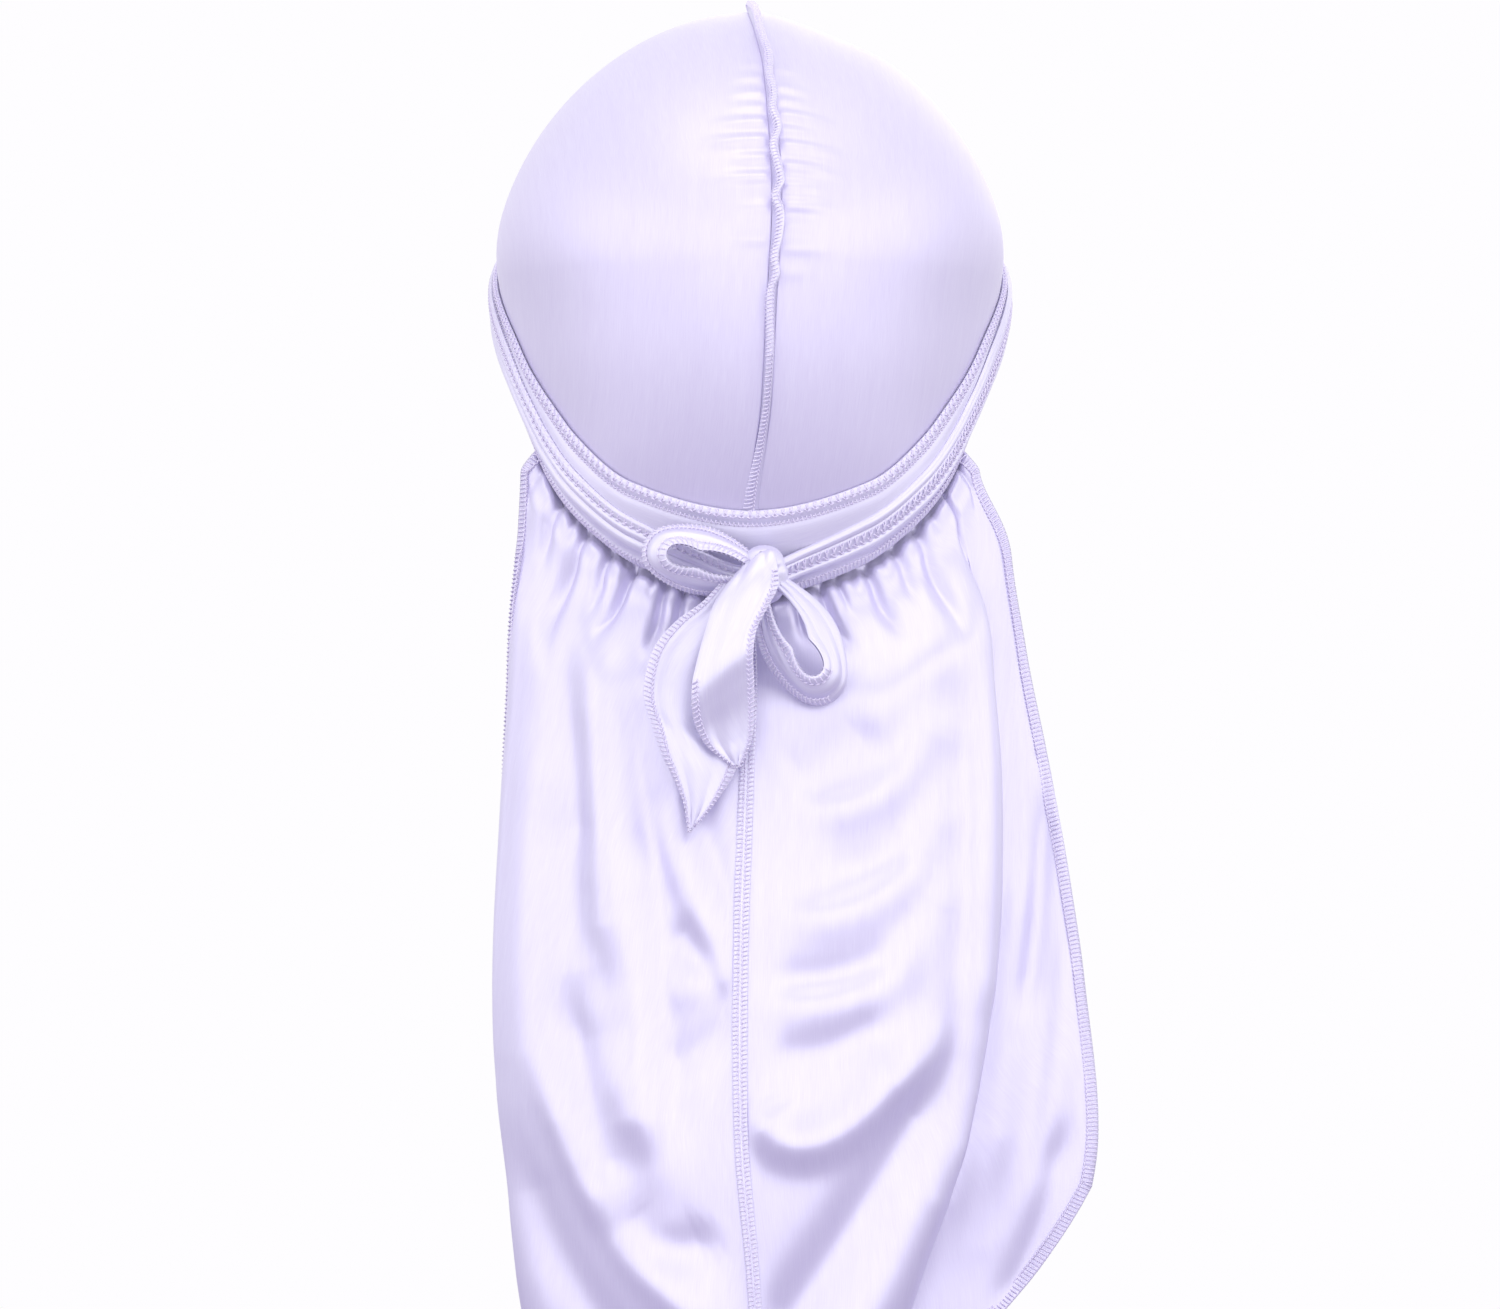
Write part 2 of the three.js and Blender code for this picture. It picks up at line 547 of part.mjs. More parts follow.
function knotGeometry(grow) {
  const rounds = 14;
  const profile = evenly(-90, 90, 8).map((angle) => [Math.cos(angle * RADIANS), Math.sin(angle * RADIANS)]);
  const points = profile.map(([radius, height]) => new THREE.Vector2(Math.max(radius, 0), height));
  points[0].x = 0;
  points[points.length - 1].x = 0;
  const lathe = new THREE.LatheGeometry(points, rounds);
  lathe.deleteAttribute("normal");
  lathe.deleteAttribute("uv");
  lathe.rotateX(Math.PI / 2);
  lathe.scale(KNOT_HALF_WIDTH + grow, KNOT_HALF_DEPTH + grow, KNOT_HALF_HEIGHT + grow);
  lathe.translate(knotMiddle.x, knotMiddle.y, knotMiddle.z);
  const { array } = lathe.getAttribute("position");
  const faces = [];
  const index = lathe.getIndex().array;
  for (let k = 0; k < index.length; k += 3) faces.push([index[k], index[k + 1], index[k + 2]]);
  return closedGeometry(Array.from(array), faces);
}

addPiece("knot", knotGeometry(0), SATIN);
const knotRoom = knotGeometry(SEAT_GAP);

// Straps: each goes on from the band's end, over the forehead and back along the other side to the knot.
const STRAP_STEPS = 52;

function strap(side, layer) {
  const first = STRAP_COURSE[0].travel;
  const last = 360 + side * KNOT_TURN - GAP;
  const stations = evenly(first, last, STRAP_STEPS).map((travel) => {
    const column = (name) => smooth(STRAP_COURSE, "travel", name, travel);
    const turn = travel > 180 ? travel - 360 : travel;
    return {
      turn: side * turn,
      z: bandMiddle(turn) + column("lift") * HEAD_RISE,
      half: STRAP_HALF_WIDTH * column("half"),
      out: layerMiddle(column(layer)),
    };
  });
  return cutBy(clothWall(headStrip(stations, 2), STRAP_THICKNESS), knotRoom);
}

addPiece("strap_left", strap(-1, "over"), SATIN);
addPiece("strap_right", strap(1, "under"), SATIN);

// Bow. A ribbon is a row of stations, each with a middle, a direction across the cloth and two reaches.
function ribbon(stations, columns) {
  return clothWall(
    stations.map(({ middle, across, left, right }) =>
      evenly(-left, right, columns).map((reach) => middle.clone().addScaledVector(across, reach)),
    ),
    STRAP_THICKNESS,
  );
}

const fine = (rows, count) =>
  evenly(0, rows.length - 1, count).map((at) => {
    const numbered = rows.map((row, number) => ({ ...row, number }));
    const columns = Object.keys(rows[0]).map((name) => [name, smooth(numbered, "number", name, at)]);
    return Object.fromEntries(columns);
  });

// A loop stands out from the knot along a direction. Its cloth leans in towards the loop's middle at the
// edge that is nearer the viewer, so that its outer face shows.
const LOOP_STEPS = 26;
const LOOP_LEAN = 35;

function bowLoop(length, angle, hang, out) {
  const direction = inView(angle).setY(-hang);
  const sideways = inView(angle + 90);
  const towardsViewer = new THREE.Vector3(0, -1, 0);
  const start = knotMiddle.clone().addScaledVector(towardsViewer, out);
  const centre = start.clone().addScaledVector(direction, length * 0.6);
  const stations = fine(LOOP_ROWS, LOOP_STEPS).map(({ along, wide, half }) => {
    const middle = start
      .clone()
      .addScaledVector(direction, length * along)
      .addScaledVector(sideways, length * wide);
    const inwards = centre.clone().sub(middle).setY(0).normalize();
    const across = towardsViewer
      .clone()
      .multiplyScalar(Math.cos(LOOP_LEAN * RADIANS))
      .addScaledVector(inwards, Math.sin(LOOP_LEAN * RADIANS));
    return { middle, across, left: LOOP_HALF_WIDTH * half, right: LOOP_HALF_WIDTH * half };
  });
  return cutBy(ribbon(stations, 3), knotRoom);
}

const inView = (angle) => new THREE.Vector3(Math.cos(angle * RADIANS), 0, Math.sin(angle * RADIANS));
const LEFT_LOOP_ANGLE = 167;
const RIGHT_LOOP_ANGLE = -62;
const RIGHT_LOOP_SHARE = 1.15;
addPiece("bow_loop_left", bowLoop(LOOP_LENGTH, LEFT_LOOP_ANGLE, 0, 1), SATIN);
addPiece("bow_loop_right", bowLoop(LOOP_LENGTH * RIGHT_LOOP_SHARE, RIGHT_LOOP_ANGLE, 0.16, 1), SATIN);

// The free ends hang from the knot over the tail and are cut to a point.
const END_STEPS = 18;

function strapEnd(rows) {
  const stations = fine(rows, END_STEPS).map(({ x, y, z, left, right }) => ({
    middle: knotMiddle.clone().add(new THREE.Vector3(x, y, z).multiplyScalar(STRAP_END_DROP)),
    left: STRAP_END_HALF_WIDTH * left,
    right: STRAP_END_HALF_WIDTH * right,
  }));
  stations.forEach((station, i) => {
    const before = stations[Math.max(i - 1, 0)].middle;
    const after = stations[Math.min(i + 1, END_STEPS)].middle;
    const tangent = after.clone().sub(before).setY(0).normalize();
    station.across = new THREE.Vector3(-tangent.z, 0, tangent.x);
  });
  return cutBy(ribbon(stations, 3), knotRoom);
}

addPiece("strap_end_right", strapEnd(END_RIGHT_ROWS), SATIN);
addPiece("strap_end_left", strapEnd(END_LEFT_ROWS), SATIN);

// Tail. A place in the cloth is across, from -1 to 1, and down, from 0 at the band's edge to 1 at the hem.
const bandEdge = (turn) => bandMiddle(turn) - bandHalf(turn);
const tailTop = bandEdge(0);

function hemHeight(across) {
  return tailTop - TAIL_DROP + TAIL_CORNER * Math.abs(across) ** 12;
}

// The plan of the hanging cloth at one height.
function tailPlan(across, z) {
  const down = (tailTop - z) / TAIL_DROP;
  const spots = Object.entries(TAIL_PLACES).map(([name, place]) => {
    const rows = TAIL_LEVELS.map((level) => ({ down: level.down, x: level[name][0], y: level[name][1] }));
    return { place, x: smooth(rows, "down", "x", down), y: smooth(rows, "down", "y", down) };
  });
  const last = spots.length - 1;
  const before = { place: 2 * spots[0].place - spots[1].place };
  const after = { place: 2 * spots[last].place - spots[last - 1].place };
  for (const axis of ["x", "y"]) {
    before[axis] = 2 * spots[0][axis] - spots[1][axis];
    after[axis] = 2 * spots[last][axis] - spots[last - 1][axis];
  }
  const open = [before, ...spots, after];
  return new THREE.Vector3(
    TAIL_HALF_WIDTH * smooth(open, "place", "x", across),
    HEAD_BACK * smooth(open, "place", "y", across),
    z,
  );
}

const TAIL_BLEND = 0.11;

function tailBase(across, down) {
  const turn = across * TAIL_TURN;
  const edge = bandEdge(turn);
  const z = edge + down * (hemHeight(across) - edge);
  const atBand = headPoint(turn, edge, CLOTH / 2 + TAIL_FLARE * step(0.006, 0.045, down)).setZ(z);
  return atBand.lerp(tailPlan(across, z), step(0.014, TAIL_BLEND, down));
}

const gatherLift = (across, down) =>
  GATHERS.reduce(
    (sum, { at, height, length, drift }) =>
      sum +
      height *
        GATHER_HEIGHT *
        bump(across - at - (drift * down) / length, GATHER_HALF_SPAN) *
        step(0.006, 0.035, down) *
        (1 - step(0.3 * length, length, down)),
    0,
  );

// How far the folds raise the cloth at a point seen from behind.
function foldLift(x, z) {
  const [u, v] = [x / TAIL_HALF_WIDTH, (tailTop - z) / TAIL_DROP];
  const aspect = TAIL_DROP / TAIL_HALF_WIDTH;
  return FOLDS.reduce((sum, { from, via, to, half, height }) => {
    let [nearest, where] = [Infinity, 0];
    for (const t of evenly(0, 1, 16)) {
      const curve = (k) => (1 - t) ** 2 * from[k] + 2 * t * (1 - t) * via[k] + t * t * to[k];
      const distance = Math.hypot(u - curve(0), (v - curve(1)) * aspect);
      if (distance < nearest) [nearest, where] = [distance, t];
    }
    const ends = step(0, 0.25, where) * (1 - step(0.75, 1, where)) + 0.15;
    return sum + height * FOLD_HEIGHT * Math.min(ends, 1) * Math.exp(-((nearest / half) ** 2));
  }, 0);
}

const TAIL_COLUMNS = 22;
const TAIL_DOWN = [0.018, 0.032, 0.05, 0.075, 0.105, 0.14, 0.18, 0.23, ...evenly(0.29, 1, 11)];

// The stretch that is sewn in under the band, from just below the crown's rim to just past the band's edge.
function tuckedRows(places) {
  return [0, 0.5, 1].map((portion) =>
    places.map((across) => {
      const turn = across * TAIL_TURN;
      const top = bandMiddle(turn) - TAIL_TOP_ROOM;
      return headPoint(turn, top + portion * (bandEdge(turn) - TAIL_TUCK_OUT - top), CLOTH / 2);
    }),
  );
}

function tailGrid(places) {
  const base = TAIL_DOWN.map((down) => places.map((across) => tailBase(across, down)));
  const lifted = base.map((row, i) =>
    row.map((p, j) => {
      const fold = foldLift(p.x, p.z) * step(0.03, 0.2, TAIL_DOWN[i]);
      const lift = gatherLift(places[j], TAIL_DOWN[i]) + fold;
      return p.clone().addScaledVector(gridNormal(base, i, j), lift);
    }),
  );
  return [...tuckedRows(places), ...lifted];
}

const seamEdge = (TAIL_SEAM_WIDTH / 2 + GAP) / TAIL_HALF_WIDTH;
addPiece("tail_left", clothWall(tailGrid(evenly(-1, -seamEdge, TAIL_COLUMNS)), CLOTH), SATIN);
addPiece("tail_right", clothWall(tailGrid(evenly(seamEdge, 1, TAIL_COLUMNS)), CLOTH), SATIN);

const seamHalf = TAIL_SEAM_WIDTH / 2 / TAIL_HALF_WIDTH;
addPiece("tail_seam", clothWall(tailGrid([-seamHalf, 0, seamHalf]), TAIL_SEAM_THICKNESS), THREAD);

export default model;
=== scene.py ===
# A satin durag as it is worn, seen from behind. The file follows the way it is sewn and put on: crown panels,
# crown seam, gathered tail, nape band, straps and bow. All lengths are metres, in the frame of the CAD model.
import math

import bpy
import numpy as np
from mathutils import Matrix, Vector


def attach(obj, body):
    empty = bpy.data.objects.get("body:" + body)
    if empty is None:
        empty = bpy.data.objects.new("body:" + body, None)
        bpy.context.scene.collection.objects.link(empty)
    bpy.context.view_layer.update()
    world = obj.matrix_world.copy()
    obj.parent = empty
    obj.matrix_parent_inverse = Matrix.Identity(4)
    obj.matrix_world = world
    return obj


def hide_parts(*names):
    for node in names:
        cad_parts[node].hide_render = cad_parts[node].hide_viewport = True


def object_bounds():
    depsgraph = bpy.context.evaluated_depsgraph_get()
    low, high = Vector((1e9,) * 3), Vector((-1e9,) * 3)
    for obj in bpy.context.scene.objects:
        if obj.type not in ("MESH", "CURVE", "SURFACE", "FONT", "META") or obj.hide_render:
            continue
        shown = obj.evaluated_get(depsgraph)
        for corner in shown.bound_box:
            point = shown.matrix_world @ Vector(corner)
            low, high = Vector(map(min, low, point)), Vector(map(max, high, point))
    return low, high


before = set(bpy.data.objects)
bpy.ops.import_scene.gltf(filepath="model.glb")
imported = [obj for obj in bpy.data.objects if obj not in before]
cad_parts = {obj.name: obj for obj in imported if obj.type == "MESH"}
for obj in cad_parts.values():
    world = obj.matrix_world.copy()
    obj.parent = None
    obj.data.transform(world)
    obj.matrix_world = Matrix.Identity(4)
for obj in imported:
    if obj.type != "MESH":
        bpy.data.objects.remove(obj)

cad_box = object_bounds()

# Camera. It stands behind the durag at the height of the bow, level and square to it, and far enough away
# that the crown is seen almost without perspective.
CAMERA_DISTANCE = 1.8
CAMERA_HEIGHT = -0.1198
LENS_MM = 135

camera = bpy.data.objects.new("camera", bpy.data.cameras.new("camera"))
camera.data.lens = LENS_MM
camera.data.sensor_width = 36
camera.location = (0, -CAMERA_DISTANCE, CAMERA_HEIGHT)
camera.rotation_euler = (math.radians(90), 0, 0)
bpy.context.collection.objects.link(camera)
bpy.context.scene.camera = camera
bpy.context.scene.view_settings.view_transform = "Standard"


# Room. A matt lavender-grey floor well below the hem, and a white room that is dim below and bright above,
# with an evenly lit wall ahead of the camera. The key and the two fills are soft boxes that join to one wide
# wall of light behind the camera, so the crown is brightest above its middle and darkest near the nape.
FLOOR_DROP = 0.12
FLOOR_REACH = 1.1
ROOM_BELOW = 0.22
ROOM_ABOVE = 1.0
WALL_LIGHT = 1.0
# How far up a direction points where the room starts to brighten and where it is at its brightest, and how
# far ahead where the lit wall starts and where it is all that shows.
ROOM_HORIZON = (-0.5, 0.03)
WALL_EDGE = (0.6, 0.9)
SOFT_BOXES = [
    # name, place, width, height, power, aimed at
    ("key", (0.2, -2.3, 0.3), 3.0, 2.1, 14, (0, 0, 0)),
    ("top", (0.05, -0.9, 1.9), 2.0, 1.2, 7.5, (0, 0, 0)),
    ("fill_right", (1.95, -0.85, 0.45), 2.2, 1.7, 8, (0, 0, 0)),
    ("fill_left", (-1.95, -0.95, 0.4), 2.4, 1.7, 8.5, (0, 0, 0)),
    ("front", (0.6, 2.2, 0.9), 1.6, 1.2, 6, (0, 0, -0.05)),
]


def srgb(text):
    """An sRGB hex colour as linear red, green, blue and alpha."""
    parts = [int(text[i:i + 2], 16) / 255 for i in (1, 3, 5)]
    return [c / 12.92 if c <= 0.04045 else ((c + 0.055) / 1.055) ** 2.4 for c in parts] + [1]


def add_node(tree, kind, settings=None, **links):
    """A node with its settings. Each link is an input's name, and a value or the socket that feeds it."""
    node = tree.nodes.new(kind)
    for name, value in (settings or {}).items():
        setattr(node, name, value)
    for name, value in links.items():
        socket = node.inputs[int(name[1:])] if name[1:].isdigit() else node.inputs[name.replace("_", " ")]
        if isinstance(value, bpy.types.NodeSocket):
            tree.links.new(value, socket)
        else:
            socket.default_value = value
    return node


def new_material(name):
    """A material with an empty node tree, and the output that its shader goes to."""
    material = bpy.data.materials.new(name)
    material.use_nodes = True
    material.node_tree.nodes.clear()
    return material, material.node_tree, material.node_tree.nodes.new("ShaderNodeOutputMaterial")


def painted_floor():
    """Matt lavender-grey paint on a smooth floor: even, and without a mirror image."""
    material, tree, output = new_material("matt_grey_paint")
    grain = add_node(tree, "ShaderNodeTexNoise", Scale=3, Detail=3)
    ramp = add_node(tree, "ShaderNodeValToRGB", Fac=grain.outputs["Fac"])
    ramp.color_ramp.elements[0].color = srgb("#9A91AB")
    ramp.color_ramp.elements[1].color = srgb("#A198B2")
    paint = add_node(tree, "ShaderNodeBsdfPrincipled", Base_Color=ramp.outputs["Color"], Roughness=0.8)
    tree.links.new(paint.outputs[0], output.inputs[0])
    return material


floor_mesh = bpy.data.meshes.new("floor")
floor_level = cad_box[0][2] - FLOOR_DROP
corners = [(x, y, floor_level) for x, y in ((-1, -1), (1, -1), (1, 1), (-1, 1))]
floor_mesh.from_pydata([(x * FLOOR_REACH, y * FLOOR_REACH, z) for x, y, z in corners], [], [(0, 1, 2, 3)])
floor_mesh.materials.append(painted_floor())
floor = bpy.data.objects.new("floor", floor_mesh)
bpy.context.collection.objects.link(floor)

world = bpy.data.worlds.new("white_room")
bpy.context.scene.world = world
world.use_nodes = True
backdrop = world.node_tree.nodes["Background"]
outlook = add_node(world.node_tree, "ShaderNodeTexCoord")
axes = add_node(world.node_tree, "ShaderNodeSeparateXYZ", Vector=outlook.outputs["Generated"])
overhead = add_node(world.node_tree, "ShaderNodeMapRange", {"interpolation_type": "SMOOTHSTEP"},
                    Value=axes.outputs["Z"], From_Min=ROOM_HORIZON[0], From_Max=ROOM_HORIZON[1],
                    To_Min=ROOM_BELOW, To_Max=ROOM_ABOVE)
ahead = add_node(world.node_tree, "ShaderNodeMapRange", {"interpolation_type": "SMOOTHSTEP"},
                 Value=axes.outputs["Y"], From_Min=WALL_EDGE[0], From_Max=WALL_EDGE[1])
brightness = add_node(world.node_tree, "ShaderNodeMix", _0=ahead.outputs[0], _2=overhead.outputs[0],
                      _3=WALL_LIGHT)
world.node_tree.links.new(brightness.outputs[0], backdrop.inputs["Strength"])
backdrop.inputs["Color"].default_value = srgb("#FEFDFF")

for name, place, width, height, power, aim in SOFT_BOXES:
    lamp = bpy.data.lights.new(name, "AREA")
    lamp.shape = "RECTANGLE"
    lamp.size, lamp.size_y, lamp.energy = width, height, power
    light = bpy.data.objects.new(name, lamp)
    light.location = place
    beam = np.array(place) - np.array(aim)
    light.rotation_euler = Vector(beam).to_track_quat("Z", "Y").to_euler()
    bpy.context.collection.objects.link(light)


# Crown panels. Two panels of lavender polyester satin, cut to a half dome each and stretched over the head
# from the band at the nape to the forehead. They are sewn together over the top of the head, and the seam
# gathers them a little, so short puckers run sideways from it.
HEAD_HALF_WIDTH = 0.0813
HEAD_BACK = 0.094
HEAD_FRONT = 0.102
HEAD_RISE = 0.084
HEAD_DROP = 0.150
VERTEX_POWER = 1.85
TEMPLE_SQUEEZE = 0.004
SQUEEZE_LEVELS = (-1.0, -0.42, -0.3, 0.3)
VERTEX_DIP = 0.0022
VERTEX_DIP_AT = 0.026
CLOTH = 0.0012
CLOTH_SHOWN = 0.0006
GAP = 0.0006
SIDE_TURN = 90
CROWN_SEAM_WIDTH = 0.0028
CROWN_SEAM_DRIFT = 0.0075
CROWN_ROWS = 220
CROWN_COLUMNS = 112
COLUMN_EASE = 1.25
HALVINGS = 40
# The rows stand closer together round the puckers: by how much, at which share of the seam's length, and how
# far to each side.
CROWDING = 2.5
CROWDED_AT = 0.34
CROWDED_REACH = 0.12
CROWDING_STEPS = 1000
PUCKER_HEIGHT = 0.0014
PUCKER_REACH = 0.022
PUCKER_WIDTH = 0.0018
PUCKER_SPREAD = 12
PUCKER_FALL = 0.12
PUCKER_FADES_FROM = 0.15
PUCKER_ROOT = (-0.001, 0.0025)
# Each satin's deep and light tone. The stretched cloth on the crown is a little lighter than the loose:
# painted light that brightens the crown. The doubled cloth is the lightest.
STRETCHED_PAINTED_LIGHT_COLOURS = ("#D7D0ED", "#DFDAF3")
LOOSE_COLOURS = ("#D5CFEC", "#DDD9F2")
DOUBLED_COLOURS = ("#D9D4EF", "#E2DFF4")

# turn: degrees from the nape. rise, half: the band's height and half its own, as shares of the head's rise.
BAND_COURSE = {
    "turn": (0, 30, 45, 55, 62, 72, 90, 115, 140, 180),
    "rise": (-1.05, -0.938, -0.783, -0.631, -0.5, -0.32, -0.11, 0.1, 0.19, 0.21),
    "half": (0.152, 0.148, 0.152, 0.148, 0.125, 0.107, 0.101, 0.1, 0.085, 0.08),
}
# at: share of the seam's length from the nape. shift: how far it is off the middle, as a share of its drift.
SEAM_COURSE = {
    "at": (0, 0.04, 0.08, 0.12, 0.2, 0.3, 0.4, 0.46, 0.52, 0.58, 0.7, 1),
    "shift": (0, 0.06, 0.36, 0.6, 0.8, 1, 0.82, 0.66, 0.38, 0.16, 0.03, 0),
}
# Puckers. at: share of the seam's length. height, reach, fall: shares of PUCKER_HEIGHT, PUCKER_REACH and
# PUCKER_FALL. The fall is how steeply it drops on its way out.
PUCKERS = {
    # at, height, reach, fall
    -1: [(0.262, 0.35, 0.7, 0.2), (0.29, 0.4, 0.6, 0.2), (0.318, 0.95, 1.0, 0.3), (0.337, 0.6, 0.7, 0.2),
         (0.356, 1.0, 1.1, 0.3), (0.376, 0.9, 0.9, 0.3), (0.394, 0.4, 0.6, 0.2), (0.412, 0.5, 0.6, 0.2),
         (0.434, 0.4, 0.5, 0.1), (0.455, 0.3, 0.4, 0.1)],
    1: [(0.232, 0.15, 0.5, 0.2), (0.254, 0.35, 0.9, 0.2), (0.274, 0.25, 0.6, 0.2), (0.292, 0.85, 0.9, 0.2),
        (0.31, 0.65, 0.7, 0.2), (0.329, 1.0, 1.0, 0.3), (0.351, 1.0, 1.2, 0.3), (0.368, 0.45, 0.7, 0.2),
        (0.386, 0.85, 1.0, 0.2), (0.404, 0.4, 0.6, 0.2), (0.422, 0.5, 0.6, 0.2), (0.45, 0.35, 0.5, 0.1)],
}


def step(low, high, value):
    """A smooth step from 0 to 1."""
    t = np.clip((value - low) / (high - low), 0, 1)
    return t**3 * (10 - 15 * t + 6 * t * t)


def smooth(keys, values, at):
    """Values given at some keys, worked out between them on a smooth curve that is level at both ends."""
    keys, values = np.array(keys, float), np.array(values, float)
    slopes = np.zeros(values.shape)
    slopes[1:-1] = (values[2:] - values[:-2]) / (keys[2:] - keys[:-2]).reshape(-1, *[1] * (values.ndim - 1))
    at = np.clip(at, keys[0], keys[-1])
    i = np.clip(np.searchsorted(keys, at, side="right") - 1, 0, len(keys) - 2)
    span = keys[i + 1] - keys[i]
    t = (at - keys[i]) / span

    def pick(columns, k):
        return columns[k] if columns.ndim == 1 else np.take_along_axis(columns, k[None], 0)[0]

    return (pick(values, i) * (2 * t**3 - 3 * t**2 + 1) + pick(values, i + 1) * (3 * t**2 - 2 * t**3)
            + span * (pick(slopes, i) * (t**3 - 2 * t**2 + t) + pick(slopes, i + 1) * (t**3 - t**2)))


def half_width(z):
    """Half the head's width at a height: the bands press it in at the temples."""
    low, full, fading, top = (level * HEAD_RISE for level in SQUEEZE_LEVELS)
    return HEAD_HALF_WIDTH - TEMPLE_SQUEEZE * step(low, full, z) * (1 - step(fading, top, z))


def head_level(p):
    """How far out points lie on the head form: under 1 inside and over 1 outside."""
    x, y, z = p[..., 0], p[..., 1], p[..., 2]
    flat = np.hypot(x / half_width(z), y / np.where(y < 0, HEAD_BACK, HEAD_FRONT))
    offset = np.clip((x - VERTEX_DIP_AT) / VERTEX_DIP_AT, -1, 1)
    rise = HEAD_RISE - VERTEX_DIP * np.cos(np.pi / 2 * offset) ** 2
    power = np.where(z > 0, VERTEX_POWER, 2)
    return flat**power + (np.abs(z) / np.where(z > 0, rise, HEAD_DROP)) ** power


def unit(v):
    return v / np.maximum(np.linalg.norm(v, axis=-1, keepdims=True), 1e-12)


def head_normal(p, h=5e-5):
    """The outward normals of the head form at some points."""
    steps = np.eye(3) * h
    return unit(np.stack([head_level(p + s) - head_level(p - s) for s in steps], axis=-1))


def head_point(turn, z, out):
    """Points of the head form at a turn from the nape and a height, moved out by some cloth."""
    turn, z = np.broadcast_arrays(np.radians(turn), z)
    power = np.where(z > 0, VERTEX_POWER, 2)
    reach = np.where(z > 0, HEAD_RISE, HEAD_DROP)
    shrink = (1 - (np.abs(z) / reach) ** power) ** (1 / power)
    length = np.where(np.cos(turn) > 0, HEAD_BACK, HEAD_FRONT)
    p = np.stack([half_width(z) * shrink * np.sin(turn), -length * shrink * np.cos(turn), z], axis=-1)
    return p + head_normal(p) * np.asarray(out)[..., None]


def head_along(start, direction):
    """Where rays from a place inside the head meet its form."""
    near = np.zeros(direction.shape[:-1])
    far = near + HEAD_BACK + HEAD_FRONT
    for _ in range(HALVINGS):
        middle = (near + far) / 2
        inside = head_level(start + direction * middle[..., None]) < 1
        near, far = np.where(inside, middle, near), np.where(inside, far, middle)
    return start + direction * near[..., None]


def band_middle(turn):
    return HEAD_RISE * smooth(BAND_COURSE["turn"], BAND_COURSE["rise"], np.abs(turn))


def band_half(turn):
    return HEAD_RISE * smooth(BAND_COURSE["turn"], BAND_COURSE["half"], np.abs(turn))


crown_middle = np.array([0, 0, float(band_middle(SIDE_TURN))])


def crown_direction(along, away):
    along, away = np.broadcast_arrays(np.radians(along), np.radians(away))
    return np.stack([np.sin(away), -np.cos(away) * np.cos(along), np.cos(away) * np.sin(along)], axis=-1)


def rim_angle(away, below, above):
    """The angle along the seam at which a line of the panel ends on the rim."""
    below, above = np.full(away.shape, float(below)), np.full(away.shape, float(above))
    for _ in range(HALVINGS):
        middle = (below + above) / 2
        p = head_along(crown_middle, crown_direction(middle, away))
        ellipse_y = -p[..., 1] / np.where(p[..., 1] < 0, HEAD_BACK, HEAD_FRONT)
        turn = np.degrees(np.arctan2(np.abs(p[..., 0]) / HEAD_HALF_WIDTH, ellipse_y))
        low = p[..., 2] < band_middle(turn) + GAP
        below, above = np.where(low, middle, below), np.where(low, above, middle)
    return above


rim_aways = np.linspace(0, 90, 181)
rim_back = rim_angle(rim_aways, -90, 90)
rim_front = rim_angle(rim_aways, 270, 90)
seam_radius = (HEAD_BACK + HEAD_RISE) / 2
seam_length = math.radians(rim_front[0] - rim_back[0]) * seam_radius


def crown_point(share, away, out):
    """Points of the crown at a share of the way from nape to forehead and an angle away from the middle."""
    back = np.interp(np.abs(away), rim_aways, rim_back)
    front = np.interp(np.abs(away), rim_aways, rim_front)
    p = head_along(crown_middle, crown_direction(back + share * (front - back), away))
    return p + head_normal(p) * np.asarray(out)[..., None]


def seam_shift(share):
    return CROWN_SEAM_DRIFT * smooth(SEAM_COURSE["at"], SEAM_COURSE["shift"], share)


def grid_normals(grid):
    """The normals of a grid of points. Seen from behind they point outwards where its rows run down and its
    columns to the right, or its rows to the right and its columns up."""
    return unit(np.cross(np.gradient(grid, axis=0), np.gradient(grid, axis=1)))


def add_mesh(name, points, faces, uv, material):
    """A closed mesh of quads, turned to face outwards, with its UV map in decimetres."""
    corners = points[faces]
    volume = np.einsum("ij,ij->", corners[:, 0], np.cross(corners[:, 1], corners[:, 2]))
    volume += np.einsum("ij,ij->", corners[:, 0], np.cross(corners[:, 2], corners[:, 3]))
    faces = faces if volume > 0 else faces[:, ::-1]
    mesh = bpy.data.meshes.new(name)
    mesh.vertices.add(len(points))
    mesh.vertices.foreach_set("co", points.ravel())
    mesh.loops.add(faces.size)
    mesh.loops.foreach_set("vertex_index", faces.ravel())
    mesh.polygons.add(len(faces))
    mesh.polygons.foreach_set("loop_start", np.arange(0, faces.size, 4))
    mesh.polygons.foreach_set("use_smooth", np.ones(len(faces), bool))
    mesh.update(calc_edges=True)
    mesh.uv_layers.new(name="cloth").data.foreach_set("uv", 10 * uv[faces.ravel()].ravel())
    mesh.validate()
    mesh.materials.append(material)
    piece = bpy.data.objects.new(name, mesh)
    bpy.context.collection.objects.link(piece)
    return piece


def travelled(grid, axis):
    """How far along one of its axes each point of a grid lies."""
    first = grid.take([0], axis=axis)
    return np.linalg.norm(np.diff(grid, axis=axis, prepend=first), axis=-1).cumsum(axis=axis)


